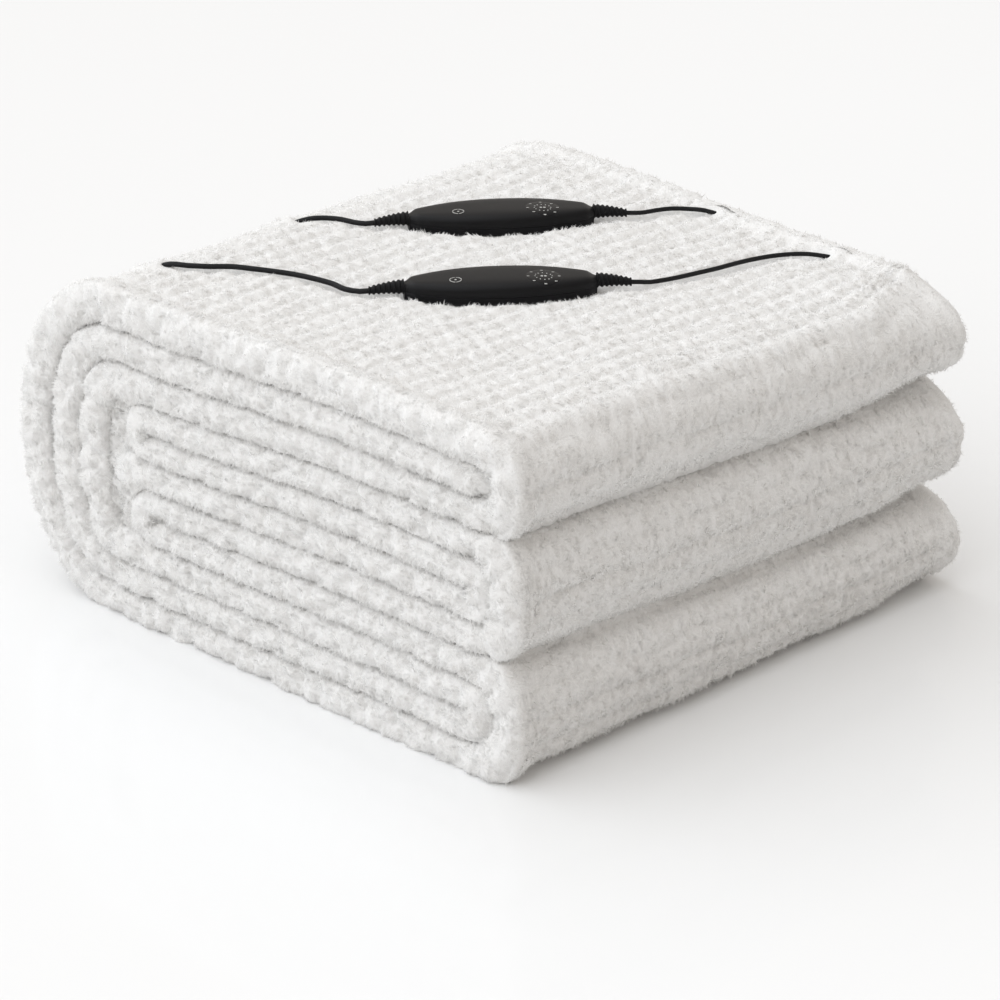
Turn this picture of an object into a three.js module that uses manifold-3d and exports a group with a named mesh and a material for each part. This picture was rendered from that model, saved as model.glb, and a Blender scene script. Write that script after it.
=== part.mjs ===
// A heated mattress pad, folded into a stack of eleven layers, with its two hand controllers on top.
// Millimetres, +Z up. The folds show on the -Y face, the rounded fold lobes on +X, the wrap on -X.
import * as THREE from 'three';
import { mergeVertices } from 'three/addons/utils/BufferGeometryUtils.js';
import Module from 'manifold-3d';

// Driving dimensions of the folded pad
const stackDepth = 472;
const layerCount = 11;
const clothThickness = 20;
const layerPitch = 22;
const halfCloth = clothThickness / 2;
const nominalHeight = clothThickness + (layerCount - 1) * layerPitch;
const lowCreaseNominal = halfCloth + 3.5 * layerPitch;
const highCreaseNominal = halfCloth + 7.5 * layerPitch;

// Each fold of the cloth, in order along it: the layers it joins, counted from the top, the X where
// the turn starts, how far the middle of the cloth reaches past it, how boxy the turn is (2 is an
// ellipse) and how many steps it takes
const folds = [
  { from: 2, to: 10, start: -150, reach: -56, boxiness: 2.3, steps: 12 },
  { from: 10, to: 9, start: 206, reach: 11, boxiness: 2, steps: 6 },
  { from: 9, to: 3, start: -142, reach: -36, boxiness: 2.8, steps: 10 },
  { from: 3, to: 1, start: 214, reach: 27, boxiness: 2.7, steps: 10 },
  { from: 1, to: 11, start: -150, reach: -91, boxiness: 2.2, steps: 14 },
  { from: 11, to: 8, start: 209, reach: 32, boxiness: 3, steps: 12 },
  { from: 8, to: 7, start: -110, reach: -11, boxiness: 2, steps: 6 },
  { from: 7, to: 4, start: 209, reach: 32, boxiness: 3, steps: 12 },
  { from: 4, to: 5, start: -114, reach: -11, boxiness: 2, steps: 6 },
  { from: 5, to: 6, start: 206, reach: 11, boxiness: 2, steps: 6 },
];
const firstHemX = 219;
const lastHemX = -144;
const lastHemDroop = 5;
const longestStraightStep = 62;

// Heights of the two creases between the lobes and of the top, on the lobes' side and on the
// wrap's side, at places along the depth from the front face (0) to the back face (1)
const levels = [
  { along: 0, low: 92, high: 184, top: 253, wrapTop: 249 },
  { along: 0.5, low: 79, high: 172, top: 243, wrapTop: 243 },
  { along: 1, low: 74, high: 160, top: 232, wrapTop: 237 },
];
const wrapSideX = -120;
const lobeSideX = 150;

// The cut edges of the cloth are soft: rings of the section at these distances in from each face,
// with the share of the full thickness that the cloth has there
const edgeRings = [
  { inset: 0, share: 0.66 },
  { inset: 2, share: 0.9 },
  { inset: 7, share: 1 },
];
const middleRings = 5;
const edgeWander = 2.2;
const edgeWanderLength = 210;
const wave = { height: 1.2, alongX: 330, alongY: 290, shift: 0.6 };

// The two controllers: a long flattened case in two shells, widest at its middle, with a round
// indicator dial let into the upper shell near its pad end
const caseLength = 139;
const caseMidHalfWidth = 22;
const caseEndHalfWidth = 8;
const caseBulge = 2.4;
const lowerShellHeight = 6.5;
const upperShellHeight = 11.5;
const crownFallAtEnds = 3;
const lowerChamfer = 2.5;
const crownBoxiness = 0.62;
const blunting = { from: 0.9, narrower: 0.35, lower: 0.25 };
const shellStations = [-1, -0.975, -0.92, -0.8, -0.6, -0.35, 0, 0.35, 0.6, 0.8, 0.92, 0.975, 1];
const shellArcSteps = 10;
const gap = 0.3;
const dial = { along: 30, radius: 12, depth: 1.2, proud: 0.3 };
const dialChamfer = 0.6;
const dialSides = 24;

// A ribbed strain relief at each end of a case, tapering and drooping to the lead
const relief = {
  length: 25,
  baseRadius: 5.6,
  tipRadius: 3.2,
  baseZ: 9.2,
  tipZ: 6.8,
  ribs: 7,
  ribStep: 0.8,
  sides: 10,
};

// Where each case lies on the top, the heading of its pad end in degrees from +X, and how deep it
// presses into the pile
const cases = [
  { name: 'front', x: 31, y: -22, heading: 52.5 },
  { name: 'rear', x: -72, y: 83, heading: 53.8 },
];
const pressedIn = 2.5;
const pocketMargin = 0.6;
const pocketReach = 20;

// The leads. Each goes over an edge of the stack to the floor behind it, where its spare length lies
// in a round coil, two layers high and `lanes` turns wide. `side` is the side of the coil where the
// lead meets and leaves it.
const mainsLead = { diameter: 4.2, lanes: 4 };
const padLead = { diameter: 3.6, lanes: 2 };
const leadSides = 8;
const coilSegments = 28;
const floorGap = 0.1;
const leads = [
  {
    name: 'front_mains',
    kind: mainsLead,
    coilCentre: [-300, -105],
    coilRadius: 25,
    toCoil: [
      [-26.9, -97.3, 249.6], [-30.7, -102, 249.4], [-42, -106, 249.2], [-56, -105, 249.2],
      [-72, -108, 249.5], [-88, -113, 249.8], [-103, -120, 250], [-116, -127, 250.2],
      [-129, -134, 250.2], [-142, -145, 249.8], [-156, -154, 249.2], [-169, -158.5, 248], [-182, -161, 245],
      [-205.5, -161, 233.6], [-226.5, -160, 214.5], [-242, -158, 189], [-251.5, -157, 159],
      [-254.8, -156, 122], [-255, -155, 85], [-255, -154, 50], [-255.5, -153, 28],
      [-257.5, -151, 13], [-262, -146, 5.2], [-266.5, -139, 2.5], [-268.7, -130, 2.2],
      [-268.7, -121.7, 2.2],
    ],
    fromCoil: [
      [-268.7, -88.3, 5.4], [-269.2, -76, 3.4], [-272.5, -63, 2.4], [-280.5, -52, 3.4], [-289.5, -47, 6.2],
      [-299.2, -46, 7.6],
    ],
  },
  {
    name: 'rear_mains',
    kind: mainsLead,
    coilCentre: [-301.8, 45],
    coilRadius: 26.8,
    toCoil: [
      [-128.2, 6.4, 246.1], [-131.8, 1.6, 245.8], [-141, -2, 245.4], [-152, -4, 245.2],
      [-163, -9, 244.8], [-173, -17, 243.6], [-186, -26, 240.4], [-205.5, -33, 230.4],
      [-226.5, -36, 211.5], [-242, -36, 187], [-251.5, -35, 158], [-254.8, -34, 122],
      [-255, -33.5, 85], [-255, -33, 50], [-255.5, -31.5, 28], [-257.5, -28, 13],
      [-262, -21, 5.2], [-266.5, -11, 2.5], [-268.7, 2, 2.2], [-268.7, 16, 2.2],
      [-268.7, 27.9, 2.2],
    ],
    fromCoil: [
      [-268.7, 62.1, 5.4], [-269.2, 74, 3.4], [-272.5, 87, 2.4], [-280.5, 98, 3.4], [-289.5, 103, 6.2],
      [-299.2, 104, 7.6],
    ],
  },
  {
    name: 'front_pad',
    kind: padLead,
    coilCentre: [112, 275.6],
    coilRadius: 18.6,
    toCoil: [
      [88.9, 53.6, 246.3], [92.4, 58.2, 245.9], [95.8, 66, 244.6], [98.5, 78, 243.6],
      [101, 93, 242.6], [103, 110, 241.6], [105, 127, 240.6], [106, 147, 239.4],
      [108, 164, 238.4], [112, 180, 237.6], [118, 192, 237.2], [127, 203, 236.8],
      [138, 213, 236.8], [147, 223, 237], [153.5, 234, 235.4], [156.5, 243.4, 229],
      [157, 246.6, 216], [157, 245.6, 190], [157, 243, 150], [157, 241.6, 100],
      [157, 241.6, 50], [157, 242, 25], [155.8, 245, 10], [151.5, 250.6, 3.6],
      [143, 255, 1.9], [134, 255.2, 1.9], [125, 255.2, 1.9],
    ],
    fromCoil: [
      [99, 255.2, 4.6], [90, 254.8, 3], [81, 252, 2.4], [75, 247.5, 4], [72.5, 243, 7.4],
      [72, 239, 9.6],
    ],
  },
  {
    name: 'rear_pad',
    kind: padLead,
    coilCentre: [-5, 278.6],
    coilRadius: 21.6,
    toCoil: [
      [-15.9, 159.9, 242.6], [-12.4, 164.7, 242.2], [-9.5, 172, 241.4], [-7.5, 182, 240.8],
      [-3, 195, 240], [6, 205, 239.4], [15, 212, 238.8], [25, 218.5, 238.6], [33, 226.5, 238.4],
      [39.5, 235.4, 235.8], [42.5, 243.8, 229], [43, 246.6, 216], [43, 245.6, 190], [43, 243, 150],
      [43, 241.6, 100], [43, 241.6, 50], [43, 242, 25], [41.8, 245, 10], [37.5, 250.6, 3.6],
      [29, 255, 1.9], [19, 255.2, 1.9], [8.5, 255.2, 1.9],
    ],
    fromCoil: [
      [-18.5, 255.2, 4.6], [-27, 254.8, 3], [-36, 252, 2.4], [-42, 247.5, 4], [-44.5, 243, 7.4],
      [-45, 239, 9.6],
    ],
  },
];
const tubeStepInDiameters = 3.4;

// The plug at the end of each mains lead: half-widths and half-heights along it, and two flat blades
const plugSections = [
  { y: 0, halfWidth: 3.2, halfHeight: 3.2 },
  { y: 14, halfWidth: 4.4, halfHeight: 4.4 },
  { y: 17, halfWidth: 9, halfHeight: 6.4 },
  { y: 22, halfWidth: 11, halfHeight: 7.4 },
  { y: 42, halfWidth: 11, halfHeight: 7.4 },
  { y: 45, halfWidth: 9.6, halfHeight: 6.2 },
];
const plugAxisZ = 7.6;
const plugCorners = 12;
const plugBoxiness = 0.6;
const blade = { width: 1.6, height: 6.3, length: 17, spacing: 12.7 };
const plugs = [
  { name: 'front', x: -300, y: -46 },
  { name: 'rear', x: -300, y: 104 },
];

const fleece = new THREE.MeshStandardMaterial({ color: 0xecebea, roughness: 1, metalness: 0 });
const blackPlastic = new THREE.MeshStandardMaterial({ color: 0x1c1c1e, roughness: 0.45, metalness: 0 });
const darkInset = new THREE.MeshStandardMaterial({ color: 0x2a2a2d, roughness: 0.35, metalness: 0 });
const blackRubber = new THREE.MeshStandardMaterial({ color: 0x202022, roughness: 0.6, metalness: 0 });
const blackCable = new THREE.MeshStandardMaterial({ color: 0x242427, roughness: 0.5, metalness: 0 });
const plated = new THREE.MeshStandardMaterial({ color: 0xc2c0ba, roughness: 0.3, metalness: 1 });

const part = new THREE.Group();

const wasm = await Module();
wasm.setup();

function toManifold(geometry) {
  const bare = new THREE.BufferGeometry();
  bare.setAttribute('position', geometry.getAttribute('position').clone());
  bare.setIndex(geometry.getIndex());
  const merged = mergeVertices(bare, 1e-4);
  return new wasm.Manifold(new wasm.Mesh({
    numProp: 3,
    vertProperties: new Float32Array(merged.getAttribute('position').array),
    triVerts: new Uint32Array(merged.getIndex().array),
  }));
}

function fromManifold(solid) {
  const mesh = solid.getMesh();
  const geometry = new THREE.BufferGeometry();
  geometry.setAttribute('position', new THREE.Float32BufferAttribute(mesh.vertProperties, 3));
  geometry.setIndex(Array.from(mesh.triVerts));
  return geometry;
}

function addPiece(name, geometry, material) {
  const mesh = new THREE.Mesh(geometry, material);
  mesh.name = name;
  part.add(mesh);
  return mesh;
}

// The value of one column of the levels at a place along the depth
function levelAt(column, along) {
  const last = levels.length - 1;
  let row = 0;
  while (row < last - 1 && along > levels[row + 1].along) {
    row += 1;
  }
  const [a, b] = [levels[row], levels[row + 1]];
  return THREE.MathUtils.mapLinear(along, a.along, b.along, a[column], b[column]);
}

// A height in the even section, moved to the height that it has in the uneven stack
function settle(x, z, along) {
  const side = THREE.MathUtils.smoothstep(x, wrapSideX, lobeSideX);
  const low = THREE.MathUtils.lerp(lowCreaseNominal, levelAt('low', along), side);
  const high = THREE.MathUtils.lerp(highCreaseNominal, levelAt('high', along), side);
  const top = THREE.MathUtils.lerp(levelAt('wrapTop', along), levelAt('top', along), side);
  const swell = wave.height * (z / nominalHeight)
    * Math.sin(2 * Math.PI * x / wave.alongX + wave.shift)
    * Math.cos(2 * Math.PI * along * stackDepth / wave.alongY);
  if (z < lowCreaseNominal) {
    return z * low / lowCreaseNominal + swell;
  }
  if (z < highCreaseNominal) {
    return THREE.MathUtils.mapLinear(z, lowCreaseNominal, highCreaseNominal, low, high) + swell;
  }
  return THREE.MathUtils.mapLinear(z, highCreaseNominal, nominalHeight, high, top) + swell;
}

const layerHeight = (layer) => halfCloth + (layerCount - layer) * layerPitch;

// The middle line of the cloth in the fold section, from the hem inside the top lobe to the hem
// beside the wrap
function middleLine() {
  const line = [];
  let x = firstHemX;
  const straightTo = (target, z) => {
    const count = Math.max(1, Math.ceil(Math.abs(target - x) / longestStraightStep));
    for (let i = 0; i < count; i += 1) {
      line.push(new THREE.Vector2(THREE.MathUtils.lerp(x, target, i / count), z));
    }
    x = target;
  };
  for (const fold of folds) {
    const zFrom = layerHeight(fold.from);
    const zTo = layerHeight(fold.to);
    straightTo(fold.start, zFrom);
    for (let i = 0; i < fold.steps; i += 1) {
      const angle = Math.PI * i / fold.steps;
      const rise = Math.cos(angle);
      const run = Math.pow(Math.sin(angle), 2 / fold.boxiness);
      const level = Math.sign(rise) * Math.pow(Math.abs(rise), 2 / fold.boxiness);
      line.push(new THREE.Vector2(
        fold.start + fold.reach * run,
        (zFrom + zTo) / 2 + (zFrom - zTo) / 2 * level,
      ));
    }
    x = fold.start;
  }
  const lastLayer = folds[folds.length - 1].to;
  straightTo(lastHemX, layerHeight(lastLayer));
  line.push(new THREE.Vector2(lastHemX, layerHeight(lastLayer) - lastHemDroop));
  return line;
}

// The closed outline of the cloth in the section, half a thickness to each side of its middle
// line, with round hems, and how far along the cloth each of its points is
function clothOutline(line, half) {
  const left = [];
  const right = [];
  let travelled = 0;
  line.forEach((point, i) => {
    const before = line[Math.max(i - 1, 0)];
    const after = line[Math.min(i + 1, line.length - 1)];
    const ahead = after.clone().sub(before).normalize();
    const side = new THREE.Vector2(-ahead.y, ahead.x);
    travelled += point.distanceTo(before);
    left.push({ point: point.clone().addScaledVector(side, half), travelled });
    right.push({ point: point.clone().addScaledVector(side, -half), travelled });
  });
  const hem = (at, outward, travel) => [-1, 0, 1].map((step) => {
    const turn = outward.clone().rotateAround(new THREE.Vector2(), step * -Math.PI / 4);
    return { point: at.clone().addScaledVector(turn, half), travelled: travel };
  });
  const lastIndex = line.length - 1;
  const endWay = line[lastIndex].clone().sub(line[lastIndex - 1]).normalize();
  const startWay = line[0].clone().sub(line[1]).normalize();
  return [
    ...left,
    ...hem(line[lastIndex], endWay, travelled),
    ...right.reverse(),
    ...hem(line[0], startWay, 0),
  ];
}

// A closed solid through rings of points along +Y, which all have the same number of points and turn
// clockwise in X and Z. The caps' triangles turn the other way.
function loft(rings, firstCap, lastCap) {
  const size = rings[0].length;
  const positions = [];
  const index = [];
  for (const ring of rings) {
    for (const point of ring) {
      positions.push(point.x, point.y, point.z);
    }
  }
  for (let r = 0; r + 1 < rings.length; r += 1) {
    for (let i = 0; i < size; i += 1) {
      const next = (i + 1) % size;
      const [a, b, c, d] = [r * size + i, r * size + next, (r + 1) * size + next, (r + 1) * size + i];
      index.push(a, b, c, a, c, d);
    }
  }
  for (const [a, b, c] of firstCap) {
    index.push(a, b, c);
  }
  const lastRing = (rings.length - 1) * size;
  for (const [a, b, c] of lastCap) {
    index.push(lastRing + a, lastRing + c, lastRing + b);
  }
  const geometry = new THREE.BufferGeometry();
  geometry.setAttribute('position', new THREE.Float32BufferAttribute(positions, 3));
  geometry.setIndex(index);
  return geometry;
}

function padGeometry() {
  const line = middleLine();
  const stations = [];
  const deepest = edgeRings[edgeRings.length - 1].inset;
  for (const { inset, share } of edgeRings) {
    stations.push({ y: inset - stackDepth / 2, share, pull: 1 - inset / deepest });
  }
  for (let i = 1; i <= middleRings; i += 1) {
    stations.push({ y: stackDepth * (i / (middleRings + 1) - 0.5), share: 1, pull: 0 });
  }
  for (const { inset, share } of [...edgeRings].reverse()) {
    stations.push({ y: stackDepth / 2 - inset, share, pull: 1 - inset / deepest });
  }
  const caps = [];
  const rings = stations.map(({ y, share, pull }) => {
    const along = y / stackDepth + 0.5;
    const outline = clothOutline(line, halfCloth * share);
    caps.push(THREE.ShapeUtils.triangulateShape(outline.map((entry) => entry.point), []));
    return outline.map(({ point, travelled }) => {
      const wander = edgeWander * pull * Math.sin(2 * Math.PI * travelled / edgeWanderLength);
      return new THREE.Vector3(point.x, y + wander, settle(point.x, point.y, along));
    });
  });
  return loft(rings, caps[0], caps[caps.length - 1]);
}

// The heights of the top of the stack under a point
const topHeight = (x, y) => settle(x, nominalHeight, y / stackDepth + 0.5);

// The half-width of a case at a share of its half-length from the middle
function caseHalfWidth(share) {
  const fall = 1 - Math.pow(Math.abs(share), caseBulge);
  const blunt = 1 - blunting.narrower * THREE.MathUtils.smoothstep(Math.abs(share), blunting.from, 1);
  return (caseEndHalfWidth + (caseMidHalfWidth - caseEndHalfWidth) * fall) * blunt;
}

const crownAt = (share) => upperShellHeight - crownFallAtEnds * share * share;
const dialTop = lowerShellHeight + crownAt(dial.along / (caseLength / 2));

// A convex solid lofted through clockwise sections of [x, z] pairs at places along Y
function loftConvex(sections) {
  const rings = sections.map(({ y, points }) => points.map(([x, z]) => new THREE.Vector3(x, y, z)));
  const cap = Array.from({ length: rings[0].length - 2 }, (_, i) => [0, i + 2, i + 1]);
  return loft(rings, cap, cap);
}

// The cosine and sine of an angle, pushed out towards the corners of their square
function boxyTurn(angle, boxiness) {
  const push = (value) => Math.sign(value) * Math.pow(Math.abs(value), boxiness);
  return [push(Math.cos(angle)), push(Math.sin(angle))];
}

function upperShell() {
  const solid = toManifold(loftConvex(shellStations.map((share) => {
    const half = caseHalfWidth(share);
    const lowered = blunting.lower * THREE.MathUtils.smoothstep(Math.abs(share), blunting.from, 1);
    const crown = crownAt(share) * (1 - lowered);
    const points = Array.from({ length: shellArcSteps + 1 }, (_, i) => {
      const angle = Math.PI * (1 - i / shellArcSteps);
      const [across, rise] = boxyTurn(angle, crownBoxiness);
      return [half * across, lowerShellHeight + gap + (crown - gap) * rise];
    });
    return { y: share * caseLength / 2, points };
  })));
  const dialCutter = new THREE.CylinderGeometry(dial.radius, dial.radius, dial.depth * 2, dialSides);
  dialCutter.rotateX(Math.PI / 2).translate(0, dial.along, dialTop);
  return fromManifold(solid.subtract(toManifold(dialCutter)));
}

function lowerShell() {
  return loftConvex(shellStations.map((share) => {
    const half = caseHalfWidth(share);
    const foot = half - lowerChamfer;
    const points = [
      [-half, lowerChamfer], [-half, lowerShellHeight],
      [half, lowerShellHeight], [half, lowerChamfer], [foot, 0], [-foot, 0],
    ];
    return { y: share * caseLength / 2, points };
  }));
}

// The dial fills its pocket in the upper shell, a little proud of it
function dialDisc() {
  const height = dial.depth - gap + dial.proud;
  const foot = dial.radius - gap;
  const disc = new THREE.CylinderGeometry(foot - dialChamfer, foot, height, dialSides);
  return disc.rotateX(Math.PI / 2).translate(0, dial.along, dialTop - dial.depth + gap + height / 2);
}

// A strain relief along local Y from the end of the case, its ribs a step wider than its grooves
function reliefGeometry() {
  const sections = [];
  const steps = relief.ribs * 2;
  for (let i = 0; i <= steps; i += 1) {
    const share = i / steps;
    const smooth = THREE.MathUtils.lerp(relief.baseRadius, relief.tipRadius, share);
    const radius = smooth - (i % 2 === 1 ? relief.ribStep : 0);
    const centre = THREE.MathUtils.lerp(relief.baseZ, relief.tipZ, share * share);
    const points = Array.from({ length: relief.sides }, (_, k) => {
      const angle = -2 * Math.PI * k / relief.sides;
      return [radius * Math.cos(angle), centre + radius * Math.sin(angle)];
    });
    sections.push({ y: gap + share * relief.length, points });
  }
  return loftConvex(sections);
}

// The shape of the pocket that a case presses into the pile
function pocketTool() {
  return loftConvex(shellStations.map((share) => {
    const half = caseHalfWidth(share) + pocketMargin;
    return {
      y: share * (caseLength / 2 + pocketMargin),
      points: [[-half, -gap], [-half, pocketReach], [half, pocketReach], [half, -gap]],
    };
  }));
}

// The place of a case on the top, tilted as the top is there
function casePlace({ x, y, heading }) {
  const turn = THREE.MathUtils.degToRad(heading);
  const way = new THREE.Vector3(Math.cos(turn), Math.sin(turn), 0);
  const across = new THREE.Vector3(Math.sin(turn), -Math.cos(turn), 0);
  const rise = (step, reach) => {
    const ahead = topHeight(x + step.x * reach, y + step.y * reach);
    const behind = topHeight(x - step.x * reach, y - step.y * reach);
    return (ahead - behind) / (2 * reach);
  };
  const yAxis = way.clone().setZ(rise(way, caseLength / 2)).normalize();
  const xRough = across.clone().setZ(rise(across, caseMidHalfWidth));
  const zAxis = new THREE.Vector3().crossVectors(xRough, yAxis).normalize();
  const xAxis = new THREE.Vector3().crossVectors(yAxis, zAxis);
  const matrix = new THREE.Matrix4().makeBasis(xAxis, yAxis, zAxis);
  matrix.setPosition(x, y, topHeight(x, y) - pressedIn);
  return matrix;
}

let padSolid = toManifold(padGeometry());
for (const place of cases) {
  const matrix = casePlace(place);
  const pocket = pocketTool().applyMatrix4(matrix);
  padSolid = padSolid.subtract(toManifold(pocket));
  const group = new THREE.Group();
  group.applyMatrix4(matrix);
  const mainsRelief = reliefGeometry().rotateZ(Math.PI).translate(0, -caseLength / 2, 0);
  const padRelief = reliefGeometry().translate(0, caseLength / 2, 0);
  const pieces = [
    ['lower_shell', lowerShell(), blackPlastic],
    ['upper_shell', upperShell(), blackPlastic],
    ['dial', dialDisc(), darkInset],
    ['mains_relief', mainsRelief, blackRubber],
    ['pad_relief', padRelief, blackRubber],
  ];
  for (const [piece, geometry, material] of pieces) {
    group.add(addPiece(`${place.name}_${piece}`, geometry, material));
  }
  part.add(group);
}
addPiece('fleece_pad', fromManifold(padSolid), fleece);

// A lead's tube through the points of its route
function leadTube(points, diameter) {
  const places = points.map((point) => new THREE.Vector3(...point));
  const route = new THREE.CatmullRomCurve3(places, false, 'centripetal');
  const section = new THREE.Shape();
  for (let i = 0; i < leadSides; i += 1) {
    const angle = 2 * Math.PI * i / leadSides;
    const at = [diameter / 2 * Math.cos(angle), diameter / 2 * Math.sin(angle)];
    if (i === 0) {
      section.moveTo(...at);
    } else {
      section.lineTo(...at);
    }
  }
  section.closePath();
  const steps = Math.ceil(route.getLength() / (diameter * tubeStepInDiameters));
  return new THREE.ExtrudeGeometry(section, { steps, bevelEnabled: false, extrudePath: route });
}

// The outer shape of a lead's coil, two layers high, on the floor
function coilRing({ diameter, lanes }, coilRadius) {
  const half = diameter * lanes / 2;
  const profile = [
    new THREE.Vector2(coilRadius - half, floorGap),
    new THREE.Vector2(coilRadius + half, floorGap),
    new THREE.Vector2(coilRadius + half, floorGap + 2 * diameter),
    new THREE.Vector2(coilRadius - half, floorGap + 2 * diameter),
    new THREE.Vector2(coilRadius - half, floorGap),
  ];
  return new THREE.LatheGeometry(profile, coilSegments).rotateX(Math.PI / 2);
}

for (const { name, kind, coilCentre, coilRadius, toCoil, fromCoil } of leads) {
  addPiece(`${name}_lead`, leadTube(toCoil, kind.diameter), blackCable);
  const coil = addPiece(`${name}_lead_coil`, coilRing(kind, coilRadius), blackCable);
  coil.position.set(...coilCentre, 0);
  addPiece(`${name}_lead_end`, leadTube(fromCoil, kind.diameter), blackCable);
}

function plugBody() {
  return loftConvex(plugSections.map(({ y, halfWidth, halfHeight }) => ({
    y,
    points: Array.from({ length: plugCorners }, (_, i) => {
      const [across, rise] = boxyTurn(-2 * Math.PI * i / plugCorners, plugBoxiness);
      return [halfWidth * across, plugAxisZ + halfHeight * rise];
    }),
  })));
}

for (const { name, x, y } of plugs) {
  const group = new THREE.Group();
  group.position.set(x, y, 0);
  group.rotation.z = Math.PI / 2;
  group.add(addPiece(`${name}_plug`, plugBody(), blackRubber));
  const bladeStart = plugSections[plugSections.length - 1].y + gap;
  for (const [side, place] of [['left', -1], ['right', 1]]) {
    const prong = new THREE.BoxGeometry(blade.width, blade.length, blade.height);
    const mesh = addPiece(`${name}_plug_blade_${side}`, prong, plated);
    mesh.position.set(place * blade.spacing / 2, bladeStart + blade.length / 2, plugAxisZ);
    group.add(mesh);
  }
  part.add(group);
}

export default part;
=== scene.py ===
"""A heated mattress pad of long-pile fleece, folded into a stack, with its two controllers on top.

The folds show on the -Y face, the rounded fold lobes on +X and the wrap on -X. Sizes are in
millimetres here and become metres when a mesh or curve is made.
"""

import itertools
import math

import bmesh
import bpy
import numpy as np
from mathutils import Matrix, Vector


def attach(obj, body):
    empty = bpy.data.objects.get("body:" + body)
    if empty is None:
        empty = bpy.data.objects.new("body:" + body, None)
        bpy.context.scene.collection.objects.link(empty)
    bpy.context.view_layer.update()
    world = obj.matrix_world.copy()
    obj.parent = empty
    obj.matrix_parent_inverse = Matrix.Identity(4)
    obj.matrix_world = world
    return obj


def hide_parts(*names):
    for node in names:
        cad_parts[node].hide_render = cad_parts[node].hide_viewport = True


MM = 0.001

# Driving sizes of the folded pad
STACK_DEPTH = 472
LAYER_COUNT = 11
CLOTH_THICKNESS = 20
LAYER_PITCH = 22
HALF_CLOTH = CLOTH_THICKNESS / 2
NOMINAL_HEIGHT = CLOTH_THICKNESS + (LAYER_COUNT - 1) * LAYER_PITCH
LOW_CREASE = HALF_CLOTH + 3.5 * LAYER_PITCH
HIGH_CREASE = HALF_CLOTH + 7.5 * LAYER_PITCH

# Each fold of the cloth in order along it: the layers it joins, counted from the top, the X where
# the turn starts, how far the middle of the cloth reaches past it and how boxy the turn is
FOLDS = [
    (2, 10, -150, -56, 2.3),
    (10, 9, 206, 11, 2),
    (9, 3, -142, -36, 2.8),
    (3, 1, 214, 27, 2.7),
    (1, 11, -150, -91, 2.2),
    (11, 8, 209, 32, 3),
    (8, 7, -110, -11, 2),
    (7, 4, 209, 32, 3),
    (4, 5, -114, -11, 2),
    (5, 6, 206, 11, 2),
]
FIRST_HEM_X = 219
LAST_HEM_X = -144
LAST_HEM_DROOP = 5

# Heights of the two creases between the lobes and of the top, on the lobes' side and on the
# wrap's side, at places along the depth from the front face (0) to the back face (1)
LEVEL_PLACES = [0, 0.5, 1]
LEVELS = {
    "low": [92, 79, 74],
    "high": [184, 172, 160],
    "top": [253, 243, 232],
    "wrap_top": [249, 243, 237],
}
WRAP_SIDE_X = -120
LOBE_SIDE_X = 150
WAVE_HEIGHT = 1.2
WAVE_ALONG_X = 330
WAVE_ALONG_Y = 290
WAVE_SHIFT = 0.6

# The controllers
CASE_LENGTH = 139
CASE_MID_HALF_WIDTH = 23.5
CASE_END_HALF_WIDTH = 8
CASE_BULGE = 2.4
LOWER_SHELL_HEIGHT = 6.5
UPPER_SHELL_HEIGHT = 10.3
CROWN_FALL_AT_ENDS = 3
LOWER_CHAMFER = 2.5
CROWN_BOXINESS = 0.52
BLUNT_FROM = 0.9
BLUNT_NARROWER = 0.35
BLUNT_LOWER = 0.25
GAP = 0.3
PRESSED_IN = 2.5
DIAL_ALONG = 30
RELIEF_LENGTH = 25
RELIEF_BASE_RADIUS = 5.6
RELIEF_TIP_RADIUS = 3.2
RELIEF_BASE_Z = 9.2
RELIEF_TIP_Z = 6.8
RELIEF_RIBS = 7
RELIEF_RIB_STEP = 0.9
CASES = {"front": (31, -22, 52.5), "rear": (-72, 83, 53.8)}

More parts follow.
